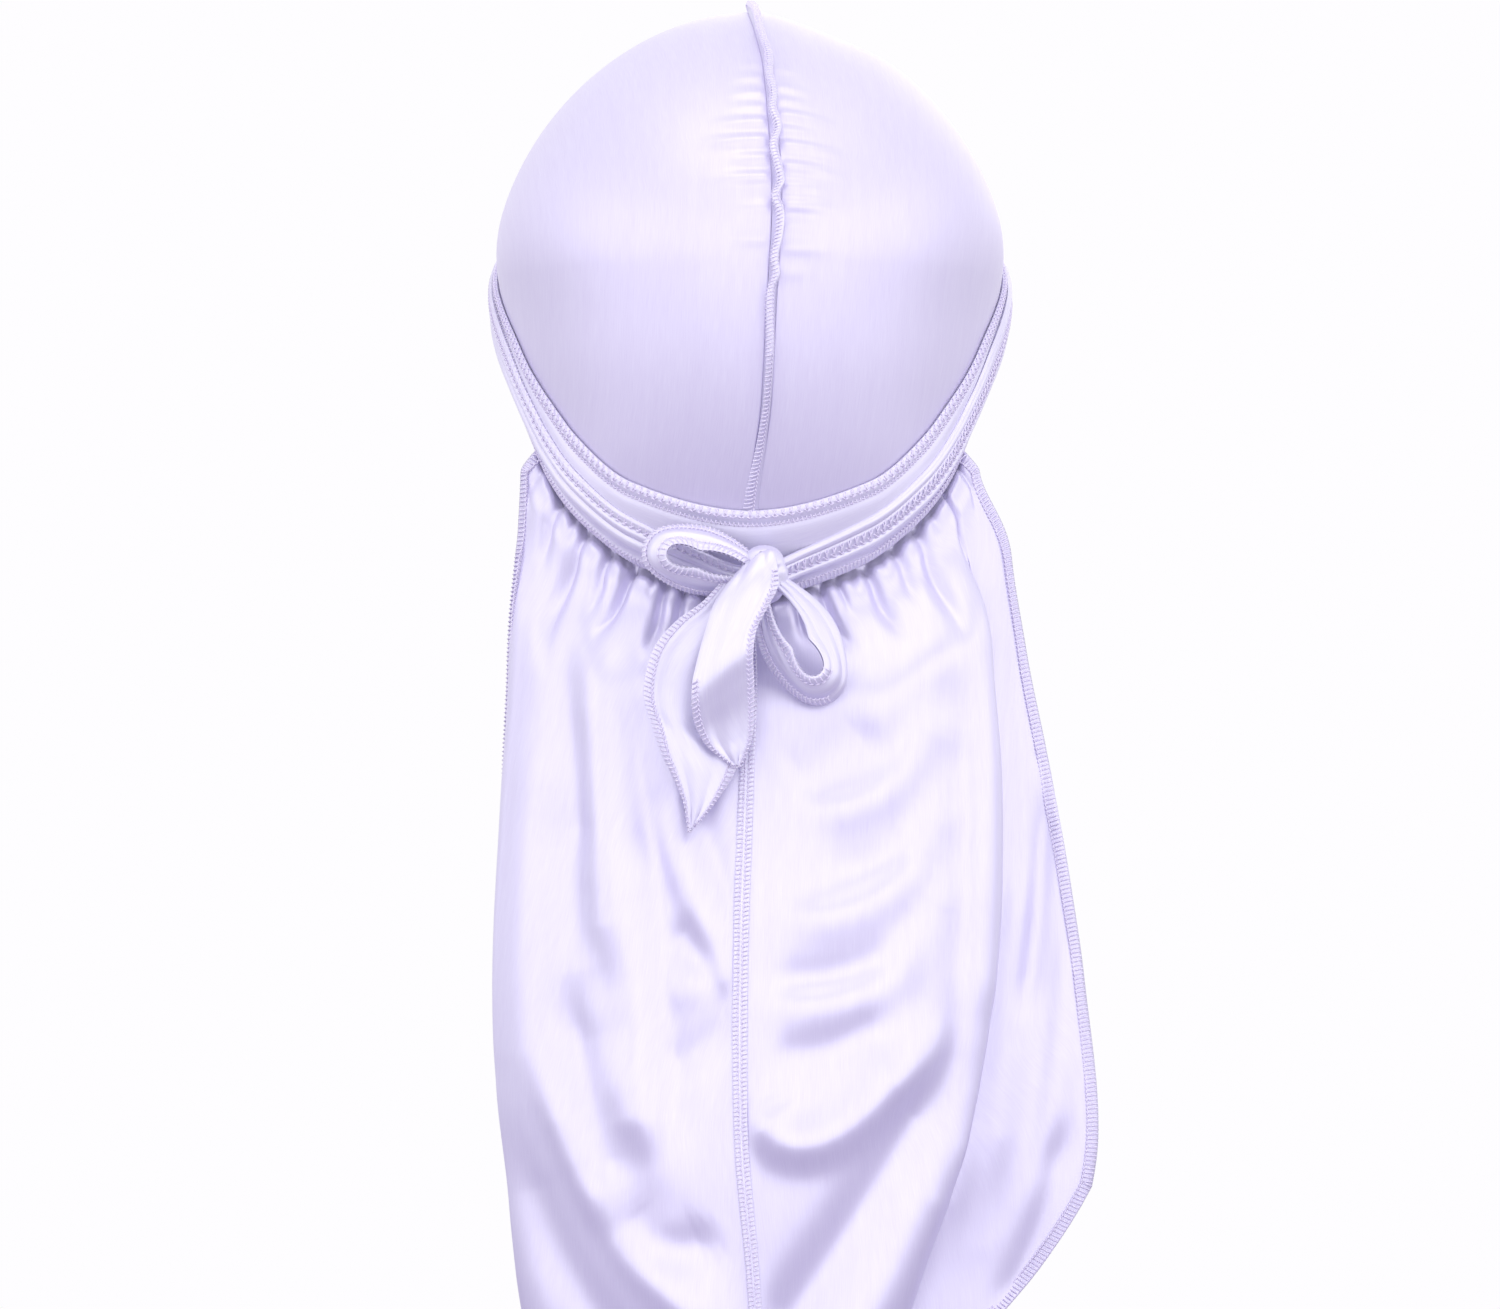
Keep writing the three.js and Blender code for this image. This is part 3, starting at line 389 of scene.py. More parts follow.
def cloth_wall(name, grid, thickness, material, warp=0):
    """A closed wall of cloth about a grid of points. warp: the axis of the grid that the warp runs along."""
    rows, columns = grid.shape[:2]
    normals = grid_normals(grid) * thickness / 2
    points = np.concatenate([(grid + normals).reshape(-1, 3), (grid - normals).reshape(-1, 3)])
    uv = np.stack([travelled(grid, 1 - warp), travelled(grid, warp)], axis=-1).reshape(-1, 2)
    index = np.arange(rows * columns).reshape(rows, columns)
    front = np.stack([index[:-1, :-1], index[1:, :-1], index[1:, 1:], index[:-1, 1:]], -1).reshape(-1, 4)
    back = front[:, ::-1] + rows * columns
    edge = np.concatenate([index[0, :0:-1], index[:-1, 0], index[-1, :-1], index[:0:-1, -1]])
    following = np.roll(edge, -1)
    rim = np.stack([following, edge, edge + rows * columns, following + rows * columns], -1)
    return add_mesh(name, points, np.concatenate([front, back, rim]), np.concatenate([uv, uv]), material)


# How many floats of yarn, and how many of the wider bands of tone, lie in a decimetre of cloth, across the
# warp and along it. A float is about 0.15 mm wide, and is drawn twice as coarse, so that it shows.
FLOATS_IN_DM = (330, 14, 1)
BANDS_IN_DM = (35, 3, 1)


def lavender_satin(name, deep, light, roughness, anisotropy=0.4):
    """Polyester satin, woven with long floats of bright yarn: a broad gloss, with streaks along the warp."""
    material, tree, output = new_material(name)
    uv = add_node(tree, "ShaderNodeUVMap", {"uv_map": "cloth"})
    floats = add_node(tree, "ShaderNodeMapping", Vector=uv.outputs[0], Scale=FLOATS_IN_DM)
    streak = add_node(tree, "ShaderNodeTexNoise", Vector=floats.outputs[0], Scale=1, Detail=2)
    slub = add_node(tree, "ShaderNodeMapping", Vector=uv.outputs[0], Scale=BANDS_IN_DM)
    bands = add_node(tree, "ShaderNodeTexNoise", Vector=slub.outputs[0], Scale=1, Detail=3)
    both = add_node(tree, "ShaderNodeMath", {"operation": "MULTIPLY_ADD"},
                    _0=bands.outputs["Fac"], _1=0.5, _2=streak.outputs["Fac"])
    tones = add_node(tree, "ShaderNodeMapRange", Value=both.outputs[0], From_Min=0.4, From_Max=1.1)
    colour = add_node(tree, "ShaderNodeMix", {"data_type": "RGBA"}, _0=tones.outputs[0],
                      _6=srgb(deep), _7=srgb(light))
    rough = add_node(tree, "ShaderNodeMapRange", Value=tones.outputs[0], To_Min=roughness + 0.03,
                     To_Max=roughness - 0.03)
    relief = add_node(tree, "ShaderNodeBump", Height=both.outputs[0], Strength=0.06, Distance=0.0002)
    along = add_node(tree, "ShaderNodeTangent", {"direction_type": "UV_MAP", "uv_map": "cloth"})
    satin = add_node(tree, "ShaderNodeBsdfPrincipled", Base_Color=colour.outputs[2],
                     Roughness=rough.outputs[0], Normal=relief.outputs[0], Tangent=along.outputs[0])
    satin.inputs["IOR"].default_value = 1.6
    satin.inputs["Anisotropic"].default_value = anisotropy
    satin.inputs["Metallic"].default_value = 0.5
    satin.inputs["Sheen Weight"].default_value = 0.2
    satin.inputs["Sheen Roughness"].default_value = 0.35
    tree.links.new(satin.outputs[0], output.inputs[0])
    return material


# The stretched satin's colours are lighter than the loose satin's: painted light that brightens the crown.
stretched_painted_light_satin = lavender_satin("stretched_painted_light_satin", *STRETCHED_PAINTED_LIGHT_COLOURS, 0.47)
satin = lavender_satin("loose_satin", *LOOSE_COLOURS, 0.4)
doubled_satin = lavender_satin("doubled_satin", *DOUBLED_COLOURS, 0.42, 0.7)


def side_name(piece, side):
    return piece + ("_left" if side < 0 else "_right")


def stands_for(piece, node):
    """A piece rides on the durag's one body and takes a node's place."""
    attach(piece, "root")
    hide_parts(node)


def crown_panel(side):
    even = np.linspace(0, 1, CROWDING_STEPS)
    crowding = (1 + CROWDING * np.exp(-(((even - CROWDED_AT) / CROWDED_REACH) ** 2))).cumsum()
    crowding = (crowding - crowding[0]) / np.ptp(crowding)
    share = np.interp(np.linspace(0, 1, CROWN_ROWS), crowding, even)[:, None]
    portion = np.linspace(0, 1, CROWN_COLUMNS)[None, :] ** COLUMN_EASE
    edge = np.degrees((seam_shift(share) + side * CROWN_SEAM_WIDTH / 2) / seam_radius)
    away = edge + (side * 90 - edge) * portion
    from_seam = np.radians(np.abs(away - edge)) * seam_radius
    lift = np.zeros(from_seam.shape)
    for at, height, reach, fall in PUCKERS[side]:
        middle = at - fall * PUCKER_FALL * from_seam / seam_length
        across = (share - middle) * seam_length / (PUCKER_WIDTH * (1 + PUCKER_SPREAD * from_seam))
        fading = 1 - step(PUCKER_FADES_FROM * PUCKER_REACH, PUCKER_REACH * reach, from_seam)
        lift += PUCKER_HEIGHT * height * np.exp(-across**2) * fading * step(*PUCKER_ROOT, from_seam)
    grid = crown_point(np.broadcast_to(share, away.shape), away, CLOTH - CLOTH_SHOWN / 2 + lift)
    return cloth_wall(side_name("crown_panel", side), grid, CLOTH_SHOWN, stretched_painted_light_satin)


for side in (-1, 1):
    panel = crown_panel(side)
    stands_for(panel, side_name("crown", side))


# Crown seam. The edges of the two panels are overlocked together, and stand up as a fin that weaves from side
# to side over the top of the head. Towards the nape it is pulled flat, and shows as a ladder of thread.
CROWN_SEAM_HEIGHT = 0.0044
CROWN_SEAM_TUCK = 0.016
FIN_ROWS = 400
FIN_FLAT_WIDTH = 0.0041
FIN_ROOT_WIDTH = 0.0028
FIN_TOP_WIDTH = 0.0022
FIN_STANDS_FROM = 0.13
FIN_ENDS = (0.004, 0.996)
# How far from the end the fin stands fully up, as a share of its tuck, and how far out its root lies and how
# high its flat part rises, as shares of the cloth.
FIN_STANDS_WITHIN = 3.6
FIN_ROOT_OUT = 0.4
FIN_FLAT_RISE = 0.9
FIN_LEAN_POWER = 1.5
THREAD_COLOUR = "#E9E3F9"
THREAD_SHADE = "#D0C5EA"
FUZZ_PER_METRE = 2600
# How far the ends of a stitch lie below the cloth's face, as a share of the thread's radius, and how high its
# needle stitch arches, as a share of its bar's height.
STITCH_ENDS_BELOW = -1.2
NEEDLE_ARCH = 0.6

# at: share of the seam's length. lean: how far the fin's top is off its root, in millimetres.
FIN_LEANS = {
    "at": (0, 0.165, 0.19, 0.217, 0.23, 0.245, 0.262, 0.283, 0.298, 0.311, 0.327, 0.346, 0.366, 0.385, 0.405,
           0.43, 0.46, 0.5, 0.56, 0.63, 0.7, 0.78, 0.86, 1),
    "lean": (0, 0.1, -0.5, -0.8, 0.8, -0.2, 0.9, 1.1, -0.9, 1.2, 0.2, -1.0, 1.2, -0.3, 0.5,
             -0.4, 0.3, -0.5, 0.6, -0.6, 0.7, -0.6, 0.3, 0),
}
# The fin in section. across: share of its width there. up: share of its height. top: share of the way from
# the root's width to the top's.
FIN_SECTION = [
    # across, up, top
    (-0.50, 0.00, 0), (-0.48, 0.22, 0), (-0.34, 0.45, 0.6),
    (-0.50, 0.72, 1), (-0.46, 0.90, 1), (-0.20, 1.00, 1),
    (0.20, 1.00, 1), (0.46, 0.90, 1), (0.50, 0.72, 1),
    (0.34, 0.45, 0.6), (0.48, 0.22, 0), (0.50, 0.00, 0),
]


def overlock_thread():
    """Textured polyester thread, softer and less glossy than the satin."""
    material, tree, output = new_material("overlock_thread")
    place = add_node(tree, "ShaderNodeTexCoord")
    fuzz = add_node(tree, "ShaderNodeTexNoise", Vector=place.outputs["Object"], Scale=FUZZ_PER_METRE,
                    Detail=2)
    tones = add_node(tree, "ShaderNodeValToRGB", Fac=fuzz.outputs["Fac"])
    tones.color_ramp.elements[0].position = 0.3
    tones.color_ramp.elements[0].color = srgb(THREAD_SHADE)
    tones.color_ramp.elements[1].position = 0.6
    tones.color_ramp.elements[1].color = srgb(THREAD_COLOUR)
    relief = add_node(tree, "ShaderNodeBump", Height=fuzz.outputs["Fac"], Strength=0.3, Distance=0.0001)
    thread = add_node(tree, "ShaderNodeBsdfPrincipled", Base_Color=tones.outputs[0], Roughness=0.55,
                      Normal=relief.outputs[0])
    thread.inputs["Sheen Weight"].default_value = 0.4
    thread.inputs["Sheen Roughness"].default_value = 0.4
    tree.links.new(thread.outputs[0], output.inputs[0])
    return material


thread = overlock_thread()


def closed_tube(name, rings, material):
    """A closed skin through rings that each have the same even number of points. The warp runs along it."""
    count, around = rings.shape[:2]
    index = np.arange(count * around).reshape(count, around)
    ahead = np.roll(index, -1, axis=1)
    sides = np.stack([index[:-1], index[1:], ahead[1:], ahead[:-1]], -1).reshape(-1, 4)
    i = np.arange(around // 2 - 1)
    cap = np.stack([i, i + 1, around - 2 - i, around - 1 - i], -1)
    faces = np.concatenate([sides, cap, cap[:, ::-1] + (count - 1) * around])
    uv = np.stack([travelled(rings, 1), travelled(rings, 0)], axis=-1).reshape(-1, 2)
    return add_mesh(name, rings.reshape(-1, 3), faces, uv, material)


def overlock_stitches():
    """Stitches along a guide line: a bar of thread over the hem and a needle stitch at its inner end.

    The guide's points say where across the cloth and out of it are, and how wide the hem is there."""
    tree = bpy.data.node_groups.new("overlock_stitches", "GeometryNodeTree")
    tree.interface.new_socket("Geometry", in_out="INPUT", socket_type="NodeSocketGeometry")
    for name in ("Spacing", "Width", "Thread", "Height", "Slant", "Zigzag"):
        tree.interface.new_socket(name, in_out="INPUT", socket_type="NodeSocketFloat")
    tree.interface.new_socket("Material", in_out="INPUT", socket_type="NodeSocketMaterial")
    tree.interface.new_socket("Geometry", in_out="OUTPUT", socket_type="NodeSocketGeometry")
    given = tree.nodes.new("NodeGroupInput").outputs

    def value(operation, first, second):
        return add_node(tree, "ShaderNodeMath", {"operation": operation}, _0=first, _1=second).outputs[0]

    def vector(x, y, z):
        return add_node(tree, "ShaderNodeCombineXYZ", X=x, Y=y, Z=z).outputs[0]

    def thread_through(start, middle, end):
        arc = add_node(tree, "GeometryNodeCurveArc", {"mode": "POINTS"}, Resolution=4, Start=start,
                       Middle=middle, End=end)
        section = add_node(tree, "GeometryNodeCurvePrimitiveCircle", Resolution=4, Radius=given["Thread"])
        return add_node(tree, "GeometryNodeCurveToMesh", Curve=arc.outputs[0],
                        Profile_Curve=section.outputs[0], Fill_Caps=True).outputs[0]

    below = value("MULTIPLY", given["Thread"], STITCH_ENDS_BELOW)
    half = value("MULTIPLY", given["Width"], 0.5)
    step_half = value("MULTIPLY", given["Spacing"], 0.5)
    bar = thread_through(vector(0, 0, below), vector(half, 0, given["Height"]),
                         vector(given["Width"], 0, below))
    needle = thread_through(vector(given["Width"], value("MULTIPLY", step_half, -1), below),
                            vector(given["Width"], 0, value("MULTIPLY", given["Height"], NEEDLE_ARCH)),
                            vector(given["Width"], step_half, below))
    stitch = tree.nodes.new("GeometryNodeJoinGeometry")
    tree.links.new(bar, stitch.inputs[0])
    tree.links.new(needle, stitch.inputs[0])
    line = add_node(tree, "GeometryNodeMeshToCurve", Mesh=given["Geometry"])
    places = add_node(tree, "GeometryNodeResampleCurve", {"mode": "LENGTH"}, Curve=line.outputs[0],
                      Length=given["Spacing"])

    def attribute(name, kind, output):
        node = add_node(tree, "GeometryNodeInputNamedAttribute", {"data_type": kind}, Name=name)
        return node.outputs[output]

    upright = add_node(tree, "FunctionNodeAlignRotationToVector", {"axis": "Z"},
                       Vector=attribute("out", "FLOAT_VECTOR", "Attribute"))
    facing = add_node(tree, "FunctionNodeAlignRotationToVector", {"axis": "X", "pivot_axis": "Z"},
                      Rotation=upright.outputs[0], Vector=attribute("across", "FLOAT_VECTOR", "Attribute"))
    index = tree.nodes.new("GeometryNodeInputIndex").outputs[0]
    side = value("SUBTRACT", value("MULTIPLY", value("MODULO", index, 2), 2), 1)
    angle = value("ADD", given["Slant"], value("MULTIPLY", side, given["Zigzag"]))
    turned = add_node(tree, "FunctionNodeRotateRotation", {"rotation_space": "LOCAL"},
                      Rotation=facing.outputs[0], Rotate_By=vector(0, 0, angle))
    size = vector(attribute("wide", "FLOAT", "Attribute"), 1, 1)
    copies = add_node(tree, "GeometryNodeInstanceOnPoints", Points=places.outputs[0],
                      Instance=stitch.outputs[0], Rotation=turned.outputs[0], Scale=size)
    real = add_node(tree, "GeometryNodeRealizeInstances", Geometry=copies.outputs[0])
    rounded = add_node(tree, "GeometryNodeSetShadeSmooth", Geometry=real.outputs[0])
    sewn = add_node(tree, "GeometryNodeSetMaterial", Geometry=rounded.outputs[0], Material=given["Material"])
    tree.links.new(sewn.outputs[0], tree.nodes.new("NodeGroupOutput").inputs[0])
    return tree


stitch_tree = overlock_stitches()


def stitch(name, lines, spacing, width, thread_radius=0.00027, height=0.0007, slant=0.0, zigzag=0.0):
    """Overlock stitches along some lines. A line is its points, across, out and, if it varies, the reach."""
    mesh = bpy.data.meshes.new(name)
    points = np.concatenate([line[0] for line in lines])
    ends = np.cumsum([len(line[0]) for line in lines])
    edges = [(i, i + 1) for i in range(len(points) - 1) if i + 1 not in ends]
    mesh.from_pydata(points.tolist(), edges, [])
    for attribute, number in (("across", 1), ("out", 2)):
        values = np.concatenate([np.broadcast_to(line[number], line[0].shape) for line in lines])
        mesh.attributes.new(attribute, "FLOAT_VECTOR", "POINT").data.foreach_set("vector", values.ravel())
    wide = np.concatenate([line[3] / width if len(line) > 3 else np.ones(len(line[0])) for line in lines])
    mesh.attributes.new("wide", "FLOAT", "POINT").data.foreach_set("value", wide)
    guide = bpy.data.objects.new(name + "_guide", mesh)
    bpy.context.collection.objects.link(guide)
    modifier = guide.modifiers.new("stitches", "NODES")
    modifier.node_group = stitch_tree
    given = {"Spacing": spacing, "Width": width, "Thread": thread_radius, "Height": height, "Slant": slant,
             "Zigzag": zigzag, "Material": thread}
    for item in stitch_tree.interface.items_tree:
        if item.name in given:
            modifier[item.identifier] = given[item.name]
    evaluated = guide.evaluated_get(bpy.context.evaluated_depsgraph_get())
    sewn = bpy.data.objects.new(name, bpy.data.meshes.new_from_object(evaluated))
    bpy.data.objects.remove(guide)
    sewn.data.name = name
    bpy.context.collection.objects.link(sewn)
    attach(sewn, "root")
    return sewn


def hem_guide(grid, thickness, edge, inner, face=1):
    """A guide line on a face of some cloth, for stitches that reach from one column of it to another."""
    normals = face * grid_normals(grid)
    surface = grid + normals * thickness / 2
    over = surface[:, inner] - surface[:, edge]
    reach = np.linalg.norm(over, axis=-1)
    across = over / reach[:, None]
    out = normals[:, edge] + normals[:, inner]
    out = unit(out - across * np.einsum("ij,ij->i", out, across)[:, None])
    return surface[:, edge], across, out, reach


def nearest(places, value):
    return int(np.abs(places - value).argmin())


def fin_point(share, across, up):
    """Points of the fin: across its root in metres, and up as a share of its height there."""
    from_end = np.minimum(share, 1 - share) * seam_length
    risen = step(CROWN_SEAM_TUCK, FIN_STANDS_WITHIN * CROWN_SEAM_TUCK, from_end)
    standing = (CROWN_SEAM_HEIGHT - CLOTH) * risen
    lean = 0.001 * smooth(FIN_LEANS["at"], FIN_LEANS["lean"], share)
    out = CLOTH * FIN_ROOT_OUT + up * (CLOTH * FIN_FLAT_RISE + standing)
    away = np.degrees((seam_shift(share) + across + lean * up**FIN_LEAN_POWER) / seam_radius)
    return crown_point(share, away, out)


def fin_width(share, top):
    standing = step(0, FIN_STANDS_FROM, share)
    root = FIN_FLAT_WIDTH + (FIN_ROOT_WIDTH - FIN_FLAT_WIDTH) * standing
    return root + (FIN_TOP_WIDTH - FIN_ROOT_WIDTH) * top * standing


def fin_guide(ends, count, reach, up):
    """A guide line for stitches over the fin, between two shares of the seam's length. reach: how far out it
    runs on both sides, as a share of the fin's width. up: as a share of its height."""
    share = np.linspace(*ends, count)
    side = reach * fin_width(share, 1)
    left = fin_point(share, -side, up + 0 * share)
    right = fin_point(share, side, up + 0 * share)
    return left, unit(right - left), head_normal(fin_point(share, 0 * share, 1 + 0 * share))


fin_shares = np.linspace(*FIN_ENDS, FIN_ROWS)[:, None]
section = np.array(FIN_SECTION)
shares = np.broadcast_to(fin_shares, (FIN_ROWS, len(section)))
fin_rings = fin_point(shares, fin_width(shares, section[:, 2]) * section[:, 0], section[:, 1] + 0 * shares)
seam_fin = closed_tube("crown_seam_fin", fin_rings, satin)
stands_for(seam_fin, "crown_seam")

# The ladder lies over the flat part of the fin, and the rope winds round its standing top.
LADDER_ENDS = (0.012, 0.16)
LADDER_POINTS = 160
LADDER_SHARE = 0.86
ROPE_ENDS = (0.16, 0.985)
ROPE_POINTS = 640
ROPE_SHARE = 1.05
ladder = fin_guide(LADDER_ENDS, LADDER_POINTS, 0.5, 0.97)
ladder_reach = fin_width(np.linspace(*LADDER_ENDS, LADDER_POINTS), 1) * LADDER_SHARE
stitch("crown_seam_ladder", [(*ladder, ladder_reach)], 0.00125, FIN_FLAT_WIDTH * LADDER_SHARE, slant=0.25)
stitch("crown_seam_rope", [fin_guide(ROPE_ENDS, ROPE_POINTS, 0.55, 0.8)], 0.0012, FIN_TOP_WIDTH * ROPE_SHARE,
       height=0.0011, slant=0.3)


# Tail. Two long panels of the same satin, sewn together down the middle and gathered into the band's lower
# edge. They hang free in deep folds, and are overlocked all round the hem, with rounded corners.
TAIL_TURN = 62
TAIL_DROP = 0.250
TAIL_HALF_WIDTH = 0.100
TAIL_CORNER = 0.067
TAIL_FLARE = 0.0035
TAIL_TOP_ROOM = 0.002
TAIL_TUCK_OUT = 0.0016
TAIL_SEAM_LAP = 0.0012
TAIL_FIRST_ROW = 0.018
TAIL_ROWS = 270
TUCKED_ROWS = 5
ROW_EASE = 1.25
TAIL_COLUMNS = {-1: 120, 1: 150}
TAIL_HEM_WIDTH = 0.0036
HEM_SQUARENESS = 12
PUFF_HEIGHT = 0.0034
CREASE_SHARE = 0.75
CREASE_SPREAD = 5
CREASE_FADES_FROM = 0.35
FOLD_HEIGHT = 0.005
FOLD_POINTS = 17
FOLD_FADE = 0.3
FOLD_END_SHARE = 0.1
FOLD_CLEAR_OF_SEAM = 0.045
# From where to where the cloth goes over from one form to the next, as shares of the drop below the band.
FLARES = (0.006, 0.045)
HANGS_FREE = (0.014, 0.16)
PUFFS_START = (0.004, 0.03)
PUFFS_END = (0.03, 0.36)
CREASES_START = (0.002, 0.02)
FOLDS_START = (0.03, 0.2)

# The hanging cloth seen from above, level by level. down: share of the tail's drop below the band. Each place
# across the cloth has its x as shares of the tail's half width and its y as shares of the head's back, level
# by level.
TAIL_LEVELS = (-0.1, 0.07, 0.27, 0.47, 0.67, 0.83, 1.0)
TAIL_PLACES = [
    # across, x, y
    (-1.0, (-0.705, -0.75, -0.755, -0.70, -0.63, -0.57, -0.5),
     (-0.45, -0.50, -0.54, -0.55, -0.56, -0.58, -0.6)),
    (-0.84, (-0.66, -0.705, -0.755, -0.785, -0.765, -0.715, -0.66),
     (-0.49, -0.56, -0.64, -0.71, -0.77, -0.81, -0.84)),
    (-0.45, (-0.38, -0.4, -0.42, -0.42, -0.4, -0.38, -0.34), (-0.76, -0.84, -0.93, -1.0, -1.07, -1.1, -1.12)),
    (0.0, (0.01, 0.005, -0.015, -0.03, -0.025, 0.01, 0.03), (-0.84, -0.9, -0.98, -1.06, -1.11, -1.13, -1.14)),
    (0.42, (0.38, 0.41, 0.44, 0.44, 0.41, 0.36, 0.3), (-0.76, -0.85, -0.94, -1.02, -1.08, -1.11, -1.13)),
    (0.7, (0.64, 0.72, 0.755, 0.73, 0.64, 0.51, 0.42), (-0.61, -0.70, -0.78, -0.85, -0.92, -0.98, -1.02)),
    (0.79, (0.67, 0.68, 0.67, 0.63, 0.55, 0.45, 0.38), (-0.53, -0.58, -0.63, -0.7, -0.76, -0.82, -0.87)),
    (1.0, (0.79, 0.86, 0.96, 1.03, 1.075, 1.0, 0.93), (-0.43, -0.46, -0.53, -0.6, -0.67, -0.7, -0.72)),
]

# Places across the tail, and where each is sewn to the band, as a share of the turn to the tail's end. On the
# right the cloth behind the long fold is bunched up near the end.
SEWN_AT = ((-1, 0.42, 0.7, 0.79, 1), (-1, 0.42, 0.86, 0.9, 1))
# The grid's columns, as shares of their number, and the places across that they stand at.
COLUMNS_AT = {-1: ((0, 1), (0, 1)), 1: ((0, 0.4, 0.75, 0.82, 1), (0, 0.42, 0.7, 0.79, 1))}

# Creases under the band, with puffs of cloth between them. at: place across. depth: share of CREASE_SHARE of
# the puffs' height. half: half the crease's width across. length: how far down it runs. drift: how far it
# leans across on the way.
CREASES = [
    # at, depth, half, length, drift
    (-0.96, 0.5, 0.014, 0.07, 0.01), (-0.86, 1.1, 0.018, 0.10, 0.02), (-0.80, 0.5, 0.012, 0.05, 0.03),
    (-0.735, 1.3, 0.018, 0.19, 0.01), (-0.63, 1.1, 0.017, 0.11, 0.02), (-0.57, 0.4, 0.012, 0.05, 0.03),
    (-0.51, 1.6, 0.017, 0.13, -0.06), (-0.44, 0.4, 0.012, 0.05, 0.02), (-0.38, 1.2, 0.018, 0.13, 0.01),
    (-0.30, 1.2, 0.016, 0.15, 0.0), (-0.205, 1.0, 0.016, 0.10, 0.01), (-0.13, 1.1, 0.016, 0.12, -0.01),
    (0.08, 0.9, 0.015, 0.09, 0.0), (0.20, 1.0, 0.016, 0.09, 0.02), (0.31, 1.2, 0.018, 0.12, 0.05),
    (0.385, 0.7, 0.014, 0.07, 0.03), (0.44, 0.5, 0.012, 0.05, 0.01), (0.48, 1.2, 0.014, 0.12, 0.02),
    (0.52, 0.4, 0.010, 0.05, 0.01), (0.56, 1.1, 0.014, 0.10, 0.015), (0.625, 1.2, 0.014, 0.17, 0.01),
    (0.67, 0.4, 0.010, 0.06, 0.0), (0.75, 0.8, 0.014, 0.14, 0.0), (0.92, 0.6, 0.014, 0.08, 0.0),
]

# Folds further down, as seen from behind. A fold runs from one point by way of a second to a third, each
# across as a share of the half width and down as a share of the drop. half: its half width, as a share of the
# tail's. height: share of FOLD_HEIGHT, below zero for a valley. lean: above zero it is steeper on its right
# or lower side.
FOLDS = [
    # from, via, to, half, height, lean
    ((-0.66, 0.1), (-0.68, 0.4), (-0.66, 0.7), 0.08, 0.35, 0.0),
    ((-0.56, -0.02), (-0.54, 0.2), (-0.5, 0.36), 0.06, -0.5, 0.0),
    ((-0.48, 0.02), (-0.46, 0.3), (-0.42, 0.5), 0.07, 0.5, 0.0),
    ((-0.37, 0.0), (-0.35, 0.2), (-0.29, 0.36), 0.055, -0.45, 0.0),
    ((-0.58, 0.2), (-0.56, 0.45), (-0.42, 0.62), 0.10, -0.4, 0.0),
    ((-0.47, 0.16), (-0.36, 0.5), (-0.23, 0.76), 0.085, 0.6, 0.0),
    ((-0.29, 0.16), (-0.27, 0.5), (-0.22, 0.74), 0.06, -0.5, 0.0),
    ((-0.29, 0.24), (-0.17, 0.4), (0.03, 0.52), 0.06, 0.5, 0.3),
    ((-0.22, 0.18), (-0.13, 0.34), (0.03, 0.42), 0.05, -0.35, 0.0),
    ((-0.27, 0.40), (-0.14, 0.43), (0.03, 0.52), 0.06, -0.25, 0.0),
    ((-0.29, 0.49), (-0.14, 0.47), (0.05, 0.46), 0.065, 0.2, 0.0),
    ((-0.27, 0.58), (-0.15, 0.56), (0.03, 0.50), 0.065, -0.25, 0.0),
    ((-0.57, 0.38), (-0.44, 0.56), (-0.28, 0.70), 0.07, 0.4, 0.0),
    ((-0.60, 0.44), (-0.50, 0.66), (-0.40, 0.73), 0.055, -0.35, 0.0),
    ((-0.44, 0.72), (-0.28, 0.84), (-0.06, 0.76), 0.08, -0.4, 0.0),
    ((-0.66, 0.50), (-0.46, 0.84), (0.03, 0.92), 0.075, 0.6, 0.2),
    ((-0.78, 0.60), (-0.58, 0.91), (-0.08, 1.0), 0.08, -0.5, 0.0),
    ((0.56, 0.02), (0.52, 0.16), (0.28, 0.14), 0.09, 0.3, 0.2),
    ((0.10, 0.24), (0.24, 0.21), (0.40, 0.15), 0.09, -0.25, 0.0),
    ((0.56, 0.05), (0.62, 0.25), (0.57, 0.5), 0.07, -0.35, 0.0),
    ((0.58, 0.10), (0.54, 0.28), (0.10, 0.27), 0.07, 0.4, 0.2),
    ((0.20, 0.335), (0.38, 0.345), (0.56, 0.30), 0.06, -0.12, 0.0),
    ((0.62, 0.18), (0.56, 0.43), (0.0, 0.395), 0.075, 0.45, 0.2),
    ((0.03, 0.46), (0.26, 0.49), (0.50, 0.43), 0.06, -0.25, 0.0),
    ((0.66, 0.28), (0.56, 0.53), (-0.05, 0.50), 0.07, 0.35, 0.2),
    ((0.04, 0.55), (0.22, 0.58), (0.46, 0.50), 0.06, -0.2, 0.0),
    ((-0.03, 0.57), (0.10, 0.80), (0.66, 0.48), 0.08, 0.75, 0.2),
    ((-0.04, 0.96), (0.32, 0.77), (0.68, 0.53), 0.085, -0.8, 0.0),
    ((0.02, 1.05), (0.40, 0.90), (0.68, 0.62), 0.08, 0.5, 0.0),
    ((0.70, 0.06), (0.76, 0.4), (0.60, 0.88), 0.05, 0.5, 0.4),
    ((0.64, 0.06), (0.69, 0.38), (0.58, 0.72), 0.05, -0.35, 0.0),
    ((0.84, 0.3), (0.82, 0.5), (0.72, 0.8), 0.055, 0.5, 0.0),
    ((0.92, 0.2), (0.91, 0.4), (0.82, 0.55), 0.04, -0.5, 0.0),
    ((1.0, 0.35), (0.98, 0.6), (0.84, 0.84), 0.055, 0.4, 0.3),
    ((0.98, 0.62), (0.9, 0.8), (0.76, 0.9), 0.05, -0.5, 0.0),
]


def band_edge(turn):
    return band_middle(turn) - band_half(turn)


tail_top = float(band_edge(0))


